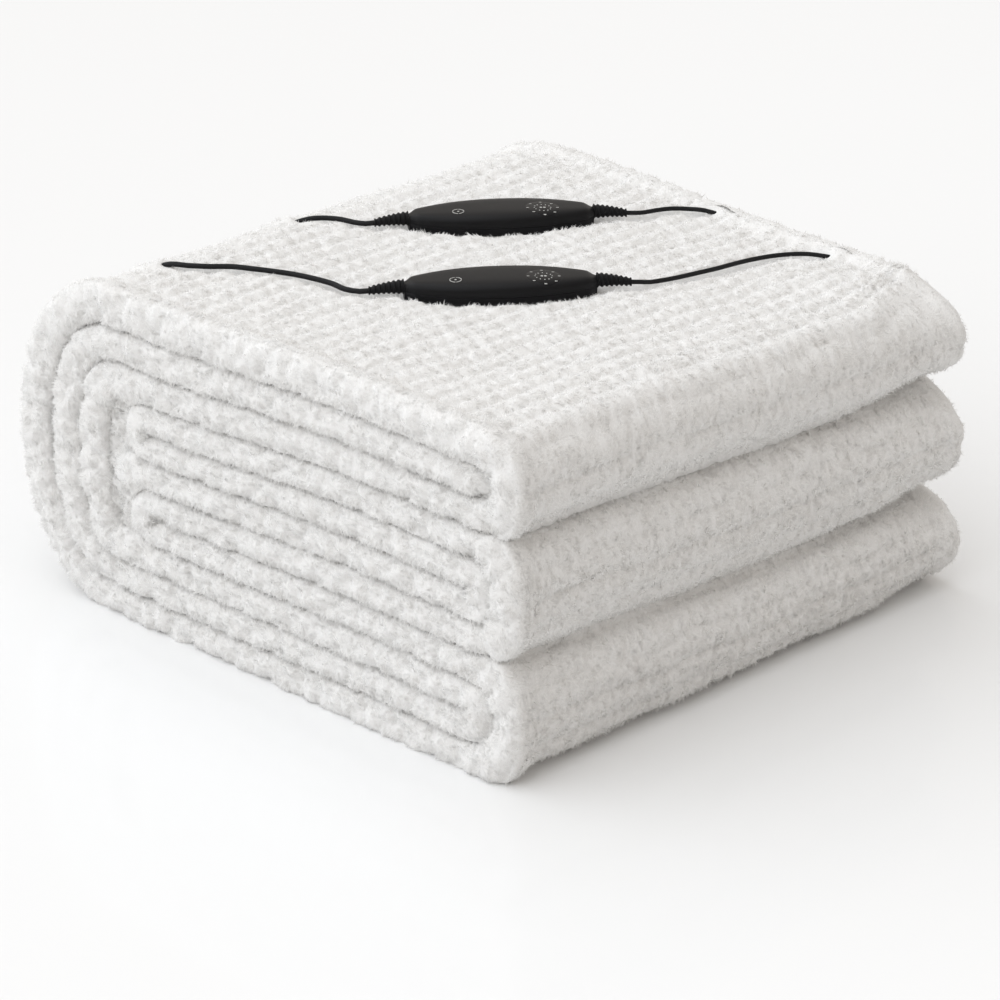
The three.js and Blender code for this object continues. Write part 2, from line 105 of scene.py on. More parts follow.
# The leads: diameter and turns side by side in a coil, then each lead's coil and its two routes
MAINS_DIAMETER = 4.2
MAINS_LANES = 4
PAD_LEAD_DIAMETER = 3.6
PAD_LEAD_LANES = 2
COIL_POINTS_PER_TURN = 24
FLOOR_GAP = 0.1
LEADS = {
    "front_mains": {
        "coil_centre": (-300, -105),
        "coil_radius": 25,
        "to_coil": [
            (-26.9, -97.3, 249.6), (-30.7, -102, 249.4), (-42, -106, 249.2), (-56, -105, 249.2),
            (-72, -108, 249.5), (-88, -113, 249.8), (-103, -120, 250), (-116, -127, 250.2),
            (-129, -134, 250.2), (-142, -145, 249.8), (-156, -154, 249.2), (-169, -158.5, 248),
            (-182, -161, 242.4), (-205.5, -161, 229), (-226.5, -160, 211), (-242, -158, 189),
            (-251.5, -157, 159), (-254.8, -156, 122), (-255, -155, 85), (-255, -154, 50),
            (-255.5, -153, 28), (-257.5, -151, 13), (-262, -146, 5.2), (-266.5, -139, 2.5),
            (-268.7, -130, 2.2), (-268.7, -121.7, 2.2),
        ],
        "from_coil": [
            (-268.7, -88.3, 5.4), (-269.2, -76, 3.4), (-272.5, -63, 2.4), (-280.5, -52, 3.4),
            (-289.5, -47, 6.2), (-299.2, -46, 7.6),
        ],
    },
    "rear_mains": {
        "coil_centre": (-301.8, 45),
        "coil_radius": 26.8,
        "to_coil": [
            (-128.2, 6.4, 246.1), (-131.8, 1.6, 245.8), (-141, -2, 245.4), (-152, -4, 245.2),
            (-163, -9, 244.8), (-173, -17, 243.6), (-186, -26, 237.6), (-205.5, -33, 226),
            (-226.5, -36, 208), (-242, -36, 187), (-251.5, -35, 158), (-254.8, -34, 122),
            (-255, -33.5, 85), (-255, -33, 50), (-255.5, -31.5, 28), (-257.5, -28, 13),
            (-262, -21, 5.2), (-266.5, -11, 2.5), (-268.7, 2, 2.2), (-268.7, 16, 2.2),
            (-268.7, 27.9, 2.2),
        ],
        "from_coil": [
            (-268.7, 62.1, 5.4), (-269.2, 74, 3.4), (-272.5, 87, 2.4), (-280.5, 98, 3.4),
            (-289.5, 103, 6.2), (-299.2, 104, 7.6),
        ],
    },
    "front_pad": {
        "coil_centre": (112, 275.6),
        "coil_radius": 18.6,
        "to_coil": [
            (88.9, 53.6, 246.3), (92.4, 58.2, 245.9), (95.8, 66, 244.6), (98.5, 78, 243.6),
            (101, 93, 242.6), (103, 110, 241.6), (105, 127, 240.6), (106, 147, 239.4),
            (108, 164, 238.4), (112, 180, 237.6), (118, 192, 237.2), (127, 203, 236.8),
            (138, 213, 234.8), (147, 223, 231.5), (153.5, 234, 227.5), (156.5, 240.5, 219),
            (157, 243.6, 206), (157, 245.6, 190), (157, 243, 150), (157, 241.6, 100),
            (157, 241.6, 50), (157, 242, 25), (155.8, 245, 10), (151.5, 250.6, 3.6),
            (143, 255, 1.9), (134, 255.2, 1.9), (125, 255.2, 1.9),
        ],
        "from_coil": [
            (99, 255.2, 4.6), (90, 254.8, 3), (81, 252, 2.4), (75, 247.5, 4), (72.5, 243, 7.4),
            (72, 239, 9.6),
        ],
    },
    "rear_pad": {
        "coil_centre": (-5, 278.6),
        "coil_radius": 21.6,
        "to_coil": [
            (-15.9, 159.9, 242.6), (-12.4, 164.7, 242.2), (-9.5, 172, 241.4), (-7.5, 182, 240.8),
            (-3, 195, 240), (6, 205, 239.4), (15, 212, 238.8), (25, 218.5, 236.2),
            (33, 226.5, 232.4), (39.5, 235.4, 228), (42.5, 240.5, 219), (43, 243.6, 206),
            (43, 245.6, 190), (43, 243, 150), (43, 241.6, 100), (43, 241.6, 50), (43, 242, 25),
            (41.8, 245, 10), (37.5, 250.6, 3.6), (29, 255, 1.9), (19, 255.2, 1.9),
            (8.5, 255.2, 1.9),
        ],
        "from_coil": [
            (-18.5, 255.2, 4.6), (-27, 254.8, 3), (-36, 252, 2.4), (-42, 247.5, 4),
            (-44.5, 243, 7.4), (-45, 239, 9.6),
        ],
    },
}

# The plugs: places along the body with its half-width and half-height there, and where each plug is
PLUG_SECTIONS = [
    (0, 3.2, 3.2), (14, 4.4, 4.4), (17, 9, 6.4), (22, 11, 7.4), (42, 11, 7.4), (45, 9.6, 6.2),
]
PLUG_AXIS_Z = 7.6
PLUGS = {"front": (-300, -46), "rear": (-300, 104)}

# The camera: its direction from the stack, its distance and the lens
CAMERA_AZIMUTH = 44.70
CAMERA_ELEVATION = 23.32
CAMERA_DISTANCE = 3.5809
CAMERA_TARGET = (0, 0, 0.12)
CAMERA_FOCAL_SHARE = 4.8866
SENSOR_WIDTH = 36
CAMERA_SHIFT = (0.0089, -0.0701)
CAMERA_SEES_TO = 50

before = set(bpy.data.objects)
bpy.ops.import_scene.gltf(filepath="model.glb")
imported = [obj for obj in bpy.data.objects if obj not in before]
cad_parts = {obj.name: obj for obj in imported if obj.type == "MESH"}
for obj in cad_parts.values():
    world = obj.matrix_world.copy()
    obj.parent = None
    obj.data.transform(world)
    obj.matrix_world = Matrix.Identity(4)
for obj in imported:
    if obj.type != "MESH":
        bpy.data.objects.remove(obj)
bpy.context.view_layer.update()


def link(name, data, material=None):
    """A new object in the scene with this data and material."""
    if material:
        data.materials.append(material)
    made = bpy.data.objects.new(name, data)
    bpy.context.collection.objects.link(made)
    return made


def add_camera():
    azimuth = math.radians(CAMERA_AZIMUTH)
    elevation = math.radians(CAMERA_ELEVATION)
    away = Vector((
        math.sin(azimuth) * math.cos(elevation),
        -math.cos(azimuth) * math.cos(elevation),
        math.sin(elevation),
    ))
    data = bpy.data.cameras.new("camera")
    data.sensor_width = SENSOR_WIDTH
    data.lens = SENSOR_WIDTH * CAMERA_FOCAL_SHARE
    data.shift_x, data.shift_y = CAMERA_SHIFT
    data.clip_end = CAMERA_SEES_TO
    camera = link("camera", data)
    camera.location = Vector(CAMERA_TARGET) + away * CAMERA_DISTANCE
    camera.rotation_euler = away.to_track_quat("Z", "Y").to_euler()
    bpy.context.scene.camera = camera


# Materials

def set_sockets(node, values):
    """Sets a node's inputs, each under its name with underscores for its spaces."""
    for socket, value in values.items():
        node.inputs[socket.replace("_", " ")].default_value = value


def plain_material(name, **values):
    """A Principled material with these values in its inputs."""
    material = bpy.data.materials.new(name)
    material.use_nodes = True
    set_sockets(material.node_tree.nodes["Principled BSDF"], values)
    return material


def add_node(tree, kind, **values):
    node = tree.nodes.new(f"ShaderNode{kind}")
    set_sockets(node, values)
    return node


def noise_in(tree, scale, detail, roughness=0.5):
    """Procedural noise in object coordinates, in metres."""
    place = add_node(tree, "TexCoord")
    texture = add_node(tree, "TexNoise", Scale=scale, Detail=detail, Roughness=roughness)
    tree.links.new(place.outputs["Object"], texture.inputs["Vector"])
    return texture.outputs["Fac"]


DARK_TO = 0.3


def patchy_material(
        name, dark, light, patches, light_from=0.7, gloss=None, grain=None, through=0, **values):
    """A Principled material in patches from dark to light, all light where their noise is past
    light_from. Gloss is the least and most roughness in them. Grain is a finer noise with the
    strength and the distance of its bump. Through is the share of light that goes through."""
    material = plain_material(name, **values)
    tree = material.node_tree
    shader = tree.nodes["Principled BSDF"]
    worn = noise_in(tree, *patches)
    ramp = add_node(tree, "ValToRGB")
    for element, place, colour in zip(ramp.color_ramp.elements, (DARK_TO, light_from), (dark, light)):
        element.position = place
        element.color = (*colour, 1)
    tree.links.new(worn, ramp.inputs["Fac"])
    tree.links.new(ramp.outputs["Color"], shader.inputs["Base Color"])
    if gloss:
        spread = add_node(tree, "MapRange", To_Min=gloss[0], To_Max=gloss[1])
        tree.links.new(worn, spread.inputs["Value"])
        tree.links.new(spread.outputs["Result"], shader.inputs["Roughness"])
    if grain:
        fine, strength, distance = grain
        bump = add_node(tree, "Bump", Strength=strength, Distance=distance)
        tree.links.new(noise_in(tree, *fine), bump.inputs["Height"])
        tree.links.new(bump.outputs["Normal"], shader.inputs["Normal"])
    if through:
        translucent = add_node(tree, "BsdfTranslucent")
        tree.links.new(ramp.outputs["Color"], translucent.inputs["Color"])
        mix = add_node(tree, "MixShader", Fac=through)
        tree.links.new(shader.outputs["BSDF"], mix.inputs[1])
        tree.links.new(translucent.outputs["BSDF"], mix.inputs[2])
        tree.links.new(mix.outputs["Shader"], tree.nodes["Material Output"].inputs["Surface"])
    return material


def cloth_material(name, dark, light):
    return patchy_material(
        name, dark, light, (55, 4), grain=((700, 4, 0.7), 0.6, 0.0015),
        Roughness=0.95, Specular_IOR_Level=0.2, Sheen_Weight=0.25, Sheen_Roughness=0.6)


DARKER = 0.8
GLOSS_SPREAD = 0.06


def black_material(name, shade, roughness, grain, strength):
    """A black moulded surface with a fine grain and slightly uneven gloss."""
    return patchy_material(
        name, tuple(DARKER * value for value in shade), shade, (60, 3),
        gloss=(roughness - GLOSS_SPREAD, roughness + GLOSS_SPREAD),
        grain=((grain, 2), strength, 0.0003), Specular_IOR_Level=0.16)


FLEECE = cloth_material("fleece_cloth", (0.86, 0.855, 0.845), (0.91, 0.91, 0.905))
# Painted shade: the pile's skin, which shows between the locks, is painted darker than the locks, as the
# shade among them
SHADE_PAINTED_SKIN = cloth_material("fleece_skin_painted_shade", (0.83, 0.82, 0.805), (0.86, 0.855, 0.845))
PILE = patchy_material(
    "fleece_pile", (0.965, 0.958, 0.945), (0.99, 0.987, 0.98), (60, 4), through=0.5,
    Roughness=0.95, Specular_IOR_Level=0.15, Sheen_Weight=0.2, Sheen_Roughness=0.6)
CASE = black_material("case_plastic", (0.006, 0.006, 0.007), 0.38, 1500, 0.12)
INSET = black_material("dial_plastic", (0.005, 0.005, 0.006), 0.25, 900, 0.05)
RELIEF = black_material("relief_rubber", (0.008, 0.008, 0.009), 0.55, 1200, 0.2)
LEAD = black_material("lead_rubber", (0.011, 0.011, 0.012), 0.45, 1200, 0.1)
PLUG = black_material("plug_rubber", (0.015, 0.015, 0.017), 0.55, 1200, 0.2)
PRINT = patchy_material(
    "grey_print", (0.35, 0.35, 0.34), (0.6, 0.6, 0.58), (900, 2), light_from=0.6, Roughness=0.5)
BLADE = patchy_material(
    "plated_blade", (0.6, 0.58, 0.52), (0.78, 0.76, 0.7), (400, 3), gloss=(0.22, 0.36), Metallic=1.0)


# Meshes, and what many shapes use

def mesh_object(name, vertices, faces, material, normals=None):
    """A smooth mesh from vertices in millimetres and faces that all have as many corners, shaded
    with these normals where they are given."""
    vertices = np.asarray(vertices, dtype=np.float32) * MM
    faces = np.asarray(faces, dtype=np.int32)
    count, corners = faces.shape
    mesh = bpy.data.meshes.new(name)
    mesh.vertices.add(len(vertices))
    mesh.vertices.foreach_set("co", vertices.ravel())
    mesh.loops.add(count * corners)
    mesh.loops.foreach_set("vertex_index", faces.ravel())
    mesh.polygons.add(count)
    mesh.polygons.foreach_set("loop_start", np.arange(count, dtype=np.int32) * corners)
    mesh.polygons.foreach_set("use_smooth", np.ones(count, dtype=bool))
    mesh.update(calc_edges=True)
    if normals is not None:
        shading = mesh.attributes.new("custom_normal", "FLOAT_VECTOR", "POINT")
        shading.data.foreach_set("vector", normals.astype(np.float32).ravel())
    return link(name, mesh, material)


def dress(piece, slot, *nodes):
    """Lets a piece ride on the one body and hides the nodes it stands for. The slot is not used."""
    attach(piece, "root")
    if nodes:
        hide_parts(*nodes)
    return piece


NOISE_TABLE_SIZE = 32


def noise(points, cell, seed):
    """Smooth random values from -1 to 1, one random value for each cell of this size."""
    table = np.random.default_rng(seed).uniform(-1, 1, (NOISE_TABLE_SIZE,) * 3)
    scaled = points / cell
    base = np.floor(scaled).astype(int)
    share = scaled - base
    share = share * share * (3 - 2 * share)
    total = np.zeros(len(points))
    for corner in itertools.product((0, 1), repeat=3):
        weight = np.ones(len(points))
        for axis in range(3):
            weight *= share[:, axis] if corner[axis] else 1 - share[:, axis]
        i, j, k = ((base + corner) % NOISE_TABLE_SIZE).T
        total += weight * table[i, j, k]
    return total


def unit(vectors):
    return vectors / np.maximum(np.linalg.norm(vectors, axis=-1, keepdims=True), 1e-9)


def smoothstep(values, low, high):
    share = np.clip((values - low) / (high - low), 0, 1)
    return share * share * (3 - 2 * share)


def turns(steps):
    """Evenly spaced angles around a full turn."""
    return [2 * math.pi * i / steps for i in range(steps)]


def polar(centre, radius, angle):
    """The place at this distance and angle from a centre."""
    return (centre[0] + radius * math.cos(angle), centre[1] + radius * math.sin(angle))


def above_floor(points):
    points[:, 2] = np.maximum(points[:, 2], FLOOR_GAP)
    return points


# The leads

def spline_points(points, spacing):
    """Points along a smooth centripetal curve through these points, about this far apart."""
    points = [Vector(point) for point in points]
    points = [points[0] * 2 - points[1], *points, points[-1] * 2 - points[-2]]
    path = []
    for a, b, c, d in zip(points, points[1:], points[2:], points[3:]):
        before, here, after = (math.sqrt((q - p).length) for p, q in ((a, b), (b, c), (c, d)))
        leave = ((b - a) / before - (c - a) / (before + here)) * here + (c - b)
        arrive = (c - b) + ((d - c) / after - (d - b) / (here + after)) * here
        steps = max(1, round((c - b).length / spacing))
        for t in (step / steps for step in range(steps)):
            path.append(
                b * (2 * t ** 3 - 3 * t ** 2 + 1) + c * (3 * t ** 2 - 2 * t ** 3)
                + leave * (t ** 3 - 2 * t ** 2 + t) + arrive * (t ** 3 - t ** 2))
    return [*path, points[-2]]


# How far apart the points of a lead's curve are, and for finding where it lies on the top
ROUTE_SPACING = 5
END_SPACING = 4
PRESS_SPACING = 4

# Where within a turn a coil's lead climbs to the upper turns and crosses to the next lane
CLIMB = (0.5, 0.65)
CROSS_BELOW = (0.65, 0.8)
CROSS_ABOVE = (0.3, 0.45)


def coil_points(centre, radius, diameter, lanes, start_angle, way):
    """The turns of a coil, outside to inside on the floor, then inside to outside on top of them."""
    points = []
    turn_count = 2 * lanes
    for step in range(turn_count * COIL_POINTS_PER_TURN + 1):
        travelled = step / COIL_POINTS_PER_TURN
        turn = min(int(travelled), turn_count - 1)
        part = travelled - turn
        if turn < lanes:
            lane = turn + (smoothstep(part, *CROSS_BELOW) if turn < lanes - 1 else 0)
            level = smoothstep(part, *CLIMB) if turn == lanes - 1 else 0
        else:
            above = turn - lanes
            lane = lanes - 1 - above - (smoothstep(part, *CROSS_ABOVE) if above < lanes - 1 else 0)
            level = 1
        reach = radius + diameter * ((lanes - 1) / 2 - lane)
        angle = start_angle + way * 2 * math.pi * part
        points.append((*polar(centre, reach, angle), FLOOR_GAP + diameter * (0.5 + level)))
    return points


def lead_curve(name, points, diameter):
    curve = bpy.data.curves.new(name, "CURVE")
    curve.dimensions = "3D"
    curve.bevel_depth = diameter / 2 * MM
    curve.bevel_resolution = 2
    curve.use_fill_caps = True
    spline = curve.splines.new("POLY")
    spline.points.add(len(points) - 1)
    for knot, point in zip(spline.points, points):
        knot.co = (*(Vector(point) * MM), 1)
    spline.use_smooth = True
    return link(name, curve, LEAD)


def add_lead(name):
    lead = LEADS[name]
    mains = name.endswith("mains")
    diameter = MAINS_DIAMETER if mains else PAD_LEAD_DIAMETER
    lanes = MAINS_LANES if mains else PAD_LEAD_LANES
    start_angle, way = (0, 1) if mains else (-math.pi / 2, -1)
    coil = coil_points(lead["coil_centre"], lead["coil_radius"], diameter, lanes, start_angle, way)
    points = [
        *spline_points([*lead["to_coil"], coil[0]], ROUTE_SPACING)[:-1],
        *(Vector(point) for point in coil),
        *spline_points([coil[-1], *lead["from_coil"]], END_SPACING)[1:],
    ]
    piece = lead_curve(f"{name}_cord", points, diameter)
    dress(piece, "lead", f"{name}_lead", f"{name}_lead_coil", f"{name}_lead_end")


def boxy(angle, boxiness):
    """The cosine and sine of an angle, pushed out towards the corners of their square."""
    return [math.copysign(abs(value) ** boxiness, value) for value in (math.cos(angle), math.sin(angle))]


def loft_faces(rings, size):
    """Quads between rings of points, which close on themselves."""
    faces = []
    for start in range(0, (rings - 1) * size, size):
        for i in range(start, start + size):
            j = start + (i + 1 - start) % size
            faces.append((i, j, j + size, i + size))
    return faces


def polygon_mesh(name, vertices, faces):
    """A mesh from lists of vertices in millimetres and of faces."""
    mesh = bpy.data.meshes.new(name)
    mesh.from_pydata([tuple(Vector(vertex) * MM) for vertex in vertices], [], faces)
    return mesh


JOIN_WITHIN = 1e-6


def tidy_solid(mesh):
    """Joins the vertices of a closed mesh that lie in the same place, and faces it outwards."""
    shape = bmesh.new()
    shape.from_mesh(mesh)
    bmesh.ops.remove_doubles(shape, verts=shape.verts, dist=JOIN_WITHIN)
    bmesh.ops.recalc_face_normals(shape, faces=shape.faces)
    shape.to_mesh(mesh)
    shape.free()


SHARP_ANGLE = math.radians(38)


def closed_loft(name, sections, material):
    """A smooth closed solid through sections, each a list of points that turn the same way."""
    size = len(sections[0])
    vertices = [point for section in sections for point in section]
    faces = loft_faces(len(sections), size)
    middle = len(vertices)
    vertices.extend(tuple(np.mean(section, axis=0)) for section in (sections[0], sections[-1]))
    last_ring = middle - size
    for i in range(size):
        j = (i + 1) % size
        faces.append((middle, j, i))
        faces.append((middle + 1, last_ring + i, last_ring + j))
    mesh = polygon_mesh(name, vertices, faces)
    tidy_solid(mesh)
    mesh.polygons.foreach_set("use_smooth", np.ones(len(mesh.polygons), dtype=bool))
    mesh.set_sharp_from_angle(angle=SHARP_ANGLE)
    return link(name, mesh, material)


PLUG_SIDES = 32
PLUG_BOXINESS = 0.6
PLUG_NECK_END = 14
PLUG_GRIP = (24, 40)
PLUG_RIB_DEPTH = 0.5
PLUG_EXTRA_PLACES = (15.2, 18.4, 20, 43.6)


def plug_outline(y, half_width, half_height):
    corners = [boxy(angle, PLUG_BOXINESS) for angle in turns(PLUG_SIDES)]
    return [(half_width * across, y, PLUG_AXIS_Z + half_height * rise) for across, rise in corners]


def add_plug(name):
    """The moulded plug with a ribbed neck and grip, returned with the frame's two blades."""
    along, half_widths, half_heights = zip(*PLUG_SECTIONS)
    neck = np.arange(PLUG_NECK_END + 1.0)
    grip = np.arange(PLUG_GRIP[0], PLUG_GRIP[1] + 1.0)
    sections = []
    for y in sorted({*neck, *along, *PLUG_EXTRA_PLACES, *grip}):
        half_width = float(np.interp(y, along, half_widths))
        half_height = float(np.interp(y, along, half_heights))
        if y < PLUG_NECK_END and round(y) % 2:
            half_width -= PLUG_RIB_DEPTH
            half_height -= PLUG_RIB_DEPTH
        if PLUG_GRIP[0] < y < PLUG_GRIP[1] and round(y) % 3 == 1:
            half_width -= PLUG_RIB_DEPTH
        sections.append(plug_outline(y, half_width, half_height))
    body = closed_loft(f"{name}_plug_body", sections, PLUG)
    place = Matrix.Translation((*(Vector(PLUGS[name]) * MM), 0)) @ Matrix.Rotation(math.pi / 2, 4, "Z")
    body.data.transform(place)
    dress(body, "plug", f"{name}_plug")
    return [body, f"{name}_plug_blade_left", f"{name}_plug_blade_right"]


# The fold section of the cloth

def settle(x, z, along):
    """A height in the even section, moved to the height that it has in the uneven stack."""
    side = smoothstep(x, WRAP_SIDE_X, LOBE_SIDE_X)

    def level(column):
        return np.interp(along, LEVEL_PLACES, LEVELS[column])

    low = LOW_CREASE + (level("low") - LOW_CREASE) * side
    high = HIGH_CREASE + (level("high") - HIGH_CREASE) * side
    top = level("wrap_top") + (level("top") - level("wrap_top")) * side
    swell = (
        WAVE_HEIGHT * (z / NOMINAL_HEIGHT)
        * np.sin(2 * np.pi * x / WAVE_ALONG_X + WAVE_SHIFT)
        * np.cos(2 * np.pi * along * STACK_DEPTH / WAVE_ALONG_Y)
    )
    bottom_part = z * low / LOW_CREASE
    middle_part = low + (z - LOW_CREASE) * (high - low) / (HIGH_CREASE - LOW_CREASE)
    top_part = high + (z - HIGH_CREASE) * (top - high) / (NOMINAL_HEIGHT - HIGH_CREASE)
    settled = np.where(z < LOW_CREASE, bottom_part, np.where(z < HIGH_CREASE, middle_part, top_part))
    return settled + swell


def top_height(x, y):
    return float(settle(x, NOMINAL_HEIGHT, y / STACK_DEPTH + 0.5))


def layer_height(layer):
    return HALF_CLOTH + (LAYER_COUNT - layer) * LAYER_PITCH


STRAIGHT_STEPS = 60
TURN_STEPS = 120
LAST_BEND = 20


def middle_line(spacing):
    """The middle line of the cloth in the fold section, as X and Z, evenly spaced."""
    line = []
    x = FIRST_HEM_X
    for first, second, start, reach, boxiness in FOLDS:
        high, low = layer_height(first), layer_height(second)
        line.extend((value, high) for value in np.linspace(x, start, STRAIGHT_STEPS, endpoint=False))
        for angle in np.linspace(0, np.pi, TURN_STEPS, endpoint=False):
            rise = math.cos(angle)
            run = math.sin(angle) ** (2 / boxiness)
            level = math.copysign(abs(rise) ** (2 / boxiness), rise)
            line.append((start + reach * run, (high + low) / 2 + (high - low) / 2 * level))
        x = start
    last = layer_height(FOLDS[-1][1])
    straight = np.linspace(x, LAST_HEM_X + LAST_BEND, STRAIGHT_STEPS, endpoint=False)
    line.extend((value, last) for value in straight)
    line.append((LAST_HEM_X, last - LAST_HEM_DROOP))
    line = np.array(line)
    travelled = np.concatenate([[0], np.cumsum(np.linalg.norm(np.diff(line, axis=0), axis=1))])
    even = np.linspace(0, travelled[-1], round(travelled[-1] / spacing) + 1)
    return np.column_stack([np.interp(even, travelled, line[:, axis]) for axis in (0, 1)])


# The middle line at every FINE step, its direction ahead with its corners smoothed, and to its left
FINE = 1.0
SMOOTHING_ROUNDS = 4
LINE = middle_line(FINE)
AHEAD = unit(np.gradient(LINE, axis=0))
for _ in range(SMOOTHING_ROUNDS):
    AHEAD[1:-1] = unit(AHEAD[:-2] + AHEAD[1:-1] * 2 + AHEAD[2:])
SIDEWAYS = np.column_stack([-AHEAD[:, 1], AHEAD[:, 0]])
CLOTH_LENGTH = FINE * (len(LINE) - 1)

# Where the pile meets another layer within this reach, it fills part of the gap
DEEPEST_PILE = 17
PUFF_SHARE = 0.42
PUFF_FROM = 9
PUFF_FADE_Y = (20, 190)
OUTER_SIDE = -1
LOOK_UP_DOWN = 40
LOOK_PAST = 14


def clearance(side):
    """How far the pile can stand out from each place on one side of the cloth before it meets
    another layer, up to the deepest pile."""
    reach = np.arange(1, DEEPEST_PILE + 1)
    free = np.full(len(LINE), float(reach[-1]))
    order = np.arange(len(LINE))
    for i in range(0, len(LINE), 2):
        near = LINE[(np.abs(LINE[:, 1] - LINE[i, 1]) < LOOK_UP_DOWN) & (np.abs(order - i) > LOOK_PAST)]
        for distance in reach:
            probe = LINE[i] + side * SIDEWAYS[i] * (HALF_CLOTH + distance)
            if np.min(np.sum((near - probe) ** 2, axis=1)) < HALF_CLOTH ** 2:
                free[i:i + 2] = distance
                break
    return free


CLEARANCE = {side: clearance(side) for side in (1, -1)}

# Clearances: up to the first the layers touch, and past the others a gap is open, a hollow, wide open
TIGHT = 3
OPEN = 4
HOLLOW = 5
WIDE_OPEN = 9


def sample(table, travelled):
    """The values of a table along the cloth at any places along it."""
    place = np.clip(travelled / FINE, 0, len(table) - 1)
    low = np.floor(place).astype(int)
    high = np.minimum(low + 1, len(table) - 1)
    share = place - low
    share = share.reshape(-1, *[1] * (table.ndim - 1))
    return table[low] * (1 - share) + table[high] * share


def free_on(side, travelled):
    """The clearance along the cloth, on its left side for a positive number and on its right side
    for a negative one."""
    return np.where(np.asarray(side) > 0, *(sample(CLEARANCE[way], travelled) for way in (1, -1)))


def cloth_section(travelled, offset):
    """X and Z in the even section at an offset sideways from the middle of the cloth."""
    return (sample(LINE, travelled) + unit(sample(SIDEWAYS, travelled)) * np.reshape(offset, (-1, 1))).T


# Towards the back the lobes are rounder: this much further in at the creases beside them
LOBE_ROUNDING = 27
ROUNDING_POWER = 2.5
ROUNDING_ALONG = (0.8, 1.0)
ROUNDING_X = (180, 236)
LOBE_EDGES = [0, LOW_CREASE, HIGH_CREASE, NOMINAL_HEIGHT]


def lobe_rounding(x, z, along):
    """How far a place in the even section moves in because its lobe is rounder there."""
    lobe = np.clip(np.searchsorted(LOBE_EDGES, z) - 1, 0, 2)
    edges = np.array(LOBE_EDGES)
    middle = (edges[lobe] + edges[lobe + 1]) / 2
    half = (edges[lobe + 1] - edges[lobe]) / 2
    off_middle = np.clip(np.abs(z - middle) / half, 0, 1) ** ROUNDING_POWER
    return LOBE_ROUNDING * off_middle * smoothstep(along, *ROUNDING_ALONG) * smoothstep(x, *ROUNDING_X)


def settled_points(x, y, z):
    """Places in the even section, moved into the uneven stack."""
    along = y / STACK_DEPTH + 0.5
    return np.column_stack([x - lobe_rounding(x, z, along), y, settle(x, z, along)])


def cloth_points(travelled, offset, y):
    """Points offset sideways from the middle of the cloth, in the uneven stack."""
    x, z = cloth_section(travelled, offset)
    return settled_points(x, y, z)


# The cut edges of the cloth are round: its share of the full thickness at a distance from the face
HEM_DEPTH = 14
HEM_BOXINESS = 2.0


def hem_share(inset):
    share = 1 - np.clip(1 - inset / HEM_DEPTH, 0, 1) ** HEM_BOXINESS
    return share ** (1 / HEM_BOXINESS)


# Where the controllers and leads press the pile down

def case_matrix(name):
    """The place of a case on the top, tilted as the top is there, in millimetres."""
    x, y, heading = CASES[name]
    turn = math.radians(heading)
    way = Vector((math.cos(turn), math.sin(turn), 0))
    across = Vector((math.sin(turn), -math.cos(turn), 0))

    def rise(step, reach):
        ahead = top_height(x + step.x * reach, y + step.y * reach)
        behind = top_height(x - step.x * reach, y - step.y * reach)
        return (ahead - behind) / (2 * reach)

    y_axis = Vector((way.x, way.y, rise(way, CASE_LENGTH / 2))).normalized()
    x_rough = Vector((across.x, across.y, rise(across, CASE_MID_HALF_WIDTH)))
    z_axis = x_rough.cross(y_axis).normalized()
    x_axis = y_axis.cross(z_axis)
    matrix = Matrix((x_axis, y_axis, z_axis)).transposed().to_4x4()
    matrix.translation = (x, y, top_height(x, y) - PRESSED_IN)
    return matrix


def case_half_width(share):
    fall = 1 - np.abs(share) ** CASE_BULGE
    blunt = 1 - BLUNT_NARROWER * smoothstep(np.abs(share), BLUNT_FROM, 1)
    return (CASE_END_HALF_WIDTH + (CASE_MID_HALF_WIDTH - CASE_END_HALF_WIDTH) * fall) * blunt


# How far from them and how deep, the heights from which pile and leads count as on the top, and a
# distance that is far from everything
PRESS_REACH = 9
PRESS_DEPTH = 2.6
TOP_FROM = 180
LEADS_FROM = 190
FAR = 99.0

# Where each lead goes under the pile on the top, by X or by Y, and where it comes out again
BURIED = {
    "front_mains": (0, -232, -169),
    "rear_mains": (0, -232, -177),
    "front_pad": (1, 212, 250),
    "rear_pad": (1, 217, 250),
}
LIFT_OVER_LEADS = 3
LIFT_FADE = (2, 11)


def lead_parts():
    """The parts of the leads near the top that lie on the pile, and those that lie under it."""
    bare, buried = [], []
    for name, lead in LEADS.items():
        path = np.array([tuple(point) for point in spline_points(lead["to_coil"], PRESS_SPACING)])
        path = path[path[:, 2] > LEADS_FROM]
        axis, low, high = BURIED[name]
        under = (path[:, axis] > low) & (path[:, axis] < high)
        bare.append(path[~under])
        buried.append(path[under])
    return np.vstack(bare), np.vstack(buried)


BARE_LEADS, BURIED_LEADS = lead_parts()


def lift_over_leads(points):
    """How far the pile stands out further to cover the leads under it."""
    near = np.full(len(points), FAR)
    for spot in BURIED_LEADS:
        near = np.minimum(near, np.linalg.norm(points - spot, axis=1))
    return LIFT_OVER_LEADS * (1 - smoothstep(near, *LIFT_FADE))


def distance_to_case(flat, name):
    """How far places are, level, from a controller with its strain reliefs."""
    matrix = case_matrix(name)
    columns = (matrix.translation, matrix.col[0], matrix.col[1])
    origin, axis_x, axis_y = (np.array(column)[:2] for column in columns)
    across = np.abs((flat - origin) @ axis_x)
    along = np.abs((flat - origin) @ axis_y)
    half = CASE_LENGTH / 2
    beside = across - case_half_width(np.clip(along / half, 0, 1))
    beyond = along - half
    from_shell = np.where(beyond > 0, np.hypot(np.maximum(beside, 0), beyond), beside)
    reach = half + RELIEF_LENGTH
    in_relief = np.clip(along / reach, 0, 1) * reach
    return np.minimum(from_shell, np.hypot(across, along - in_relief) - RELIEF_TIP_RADIUS)


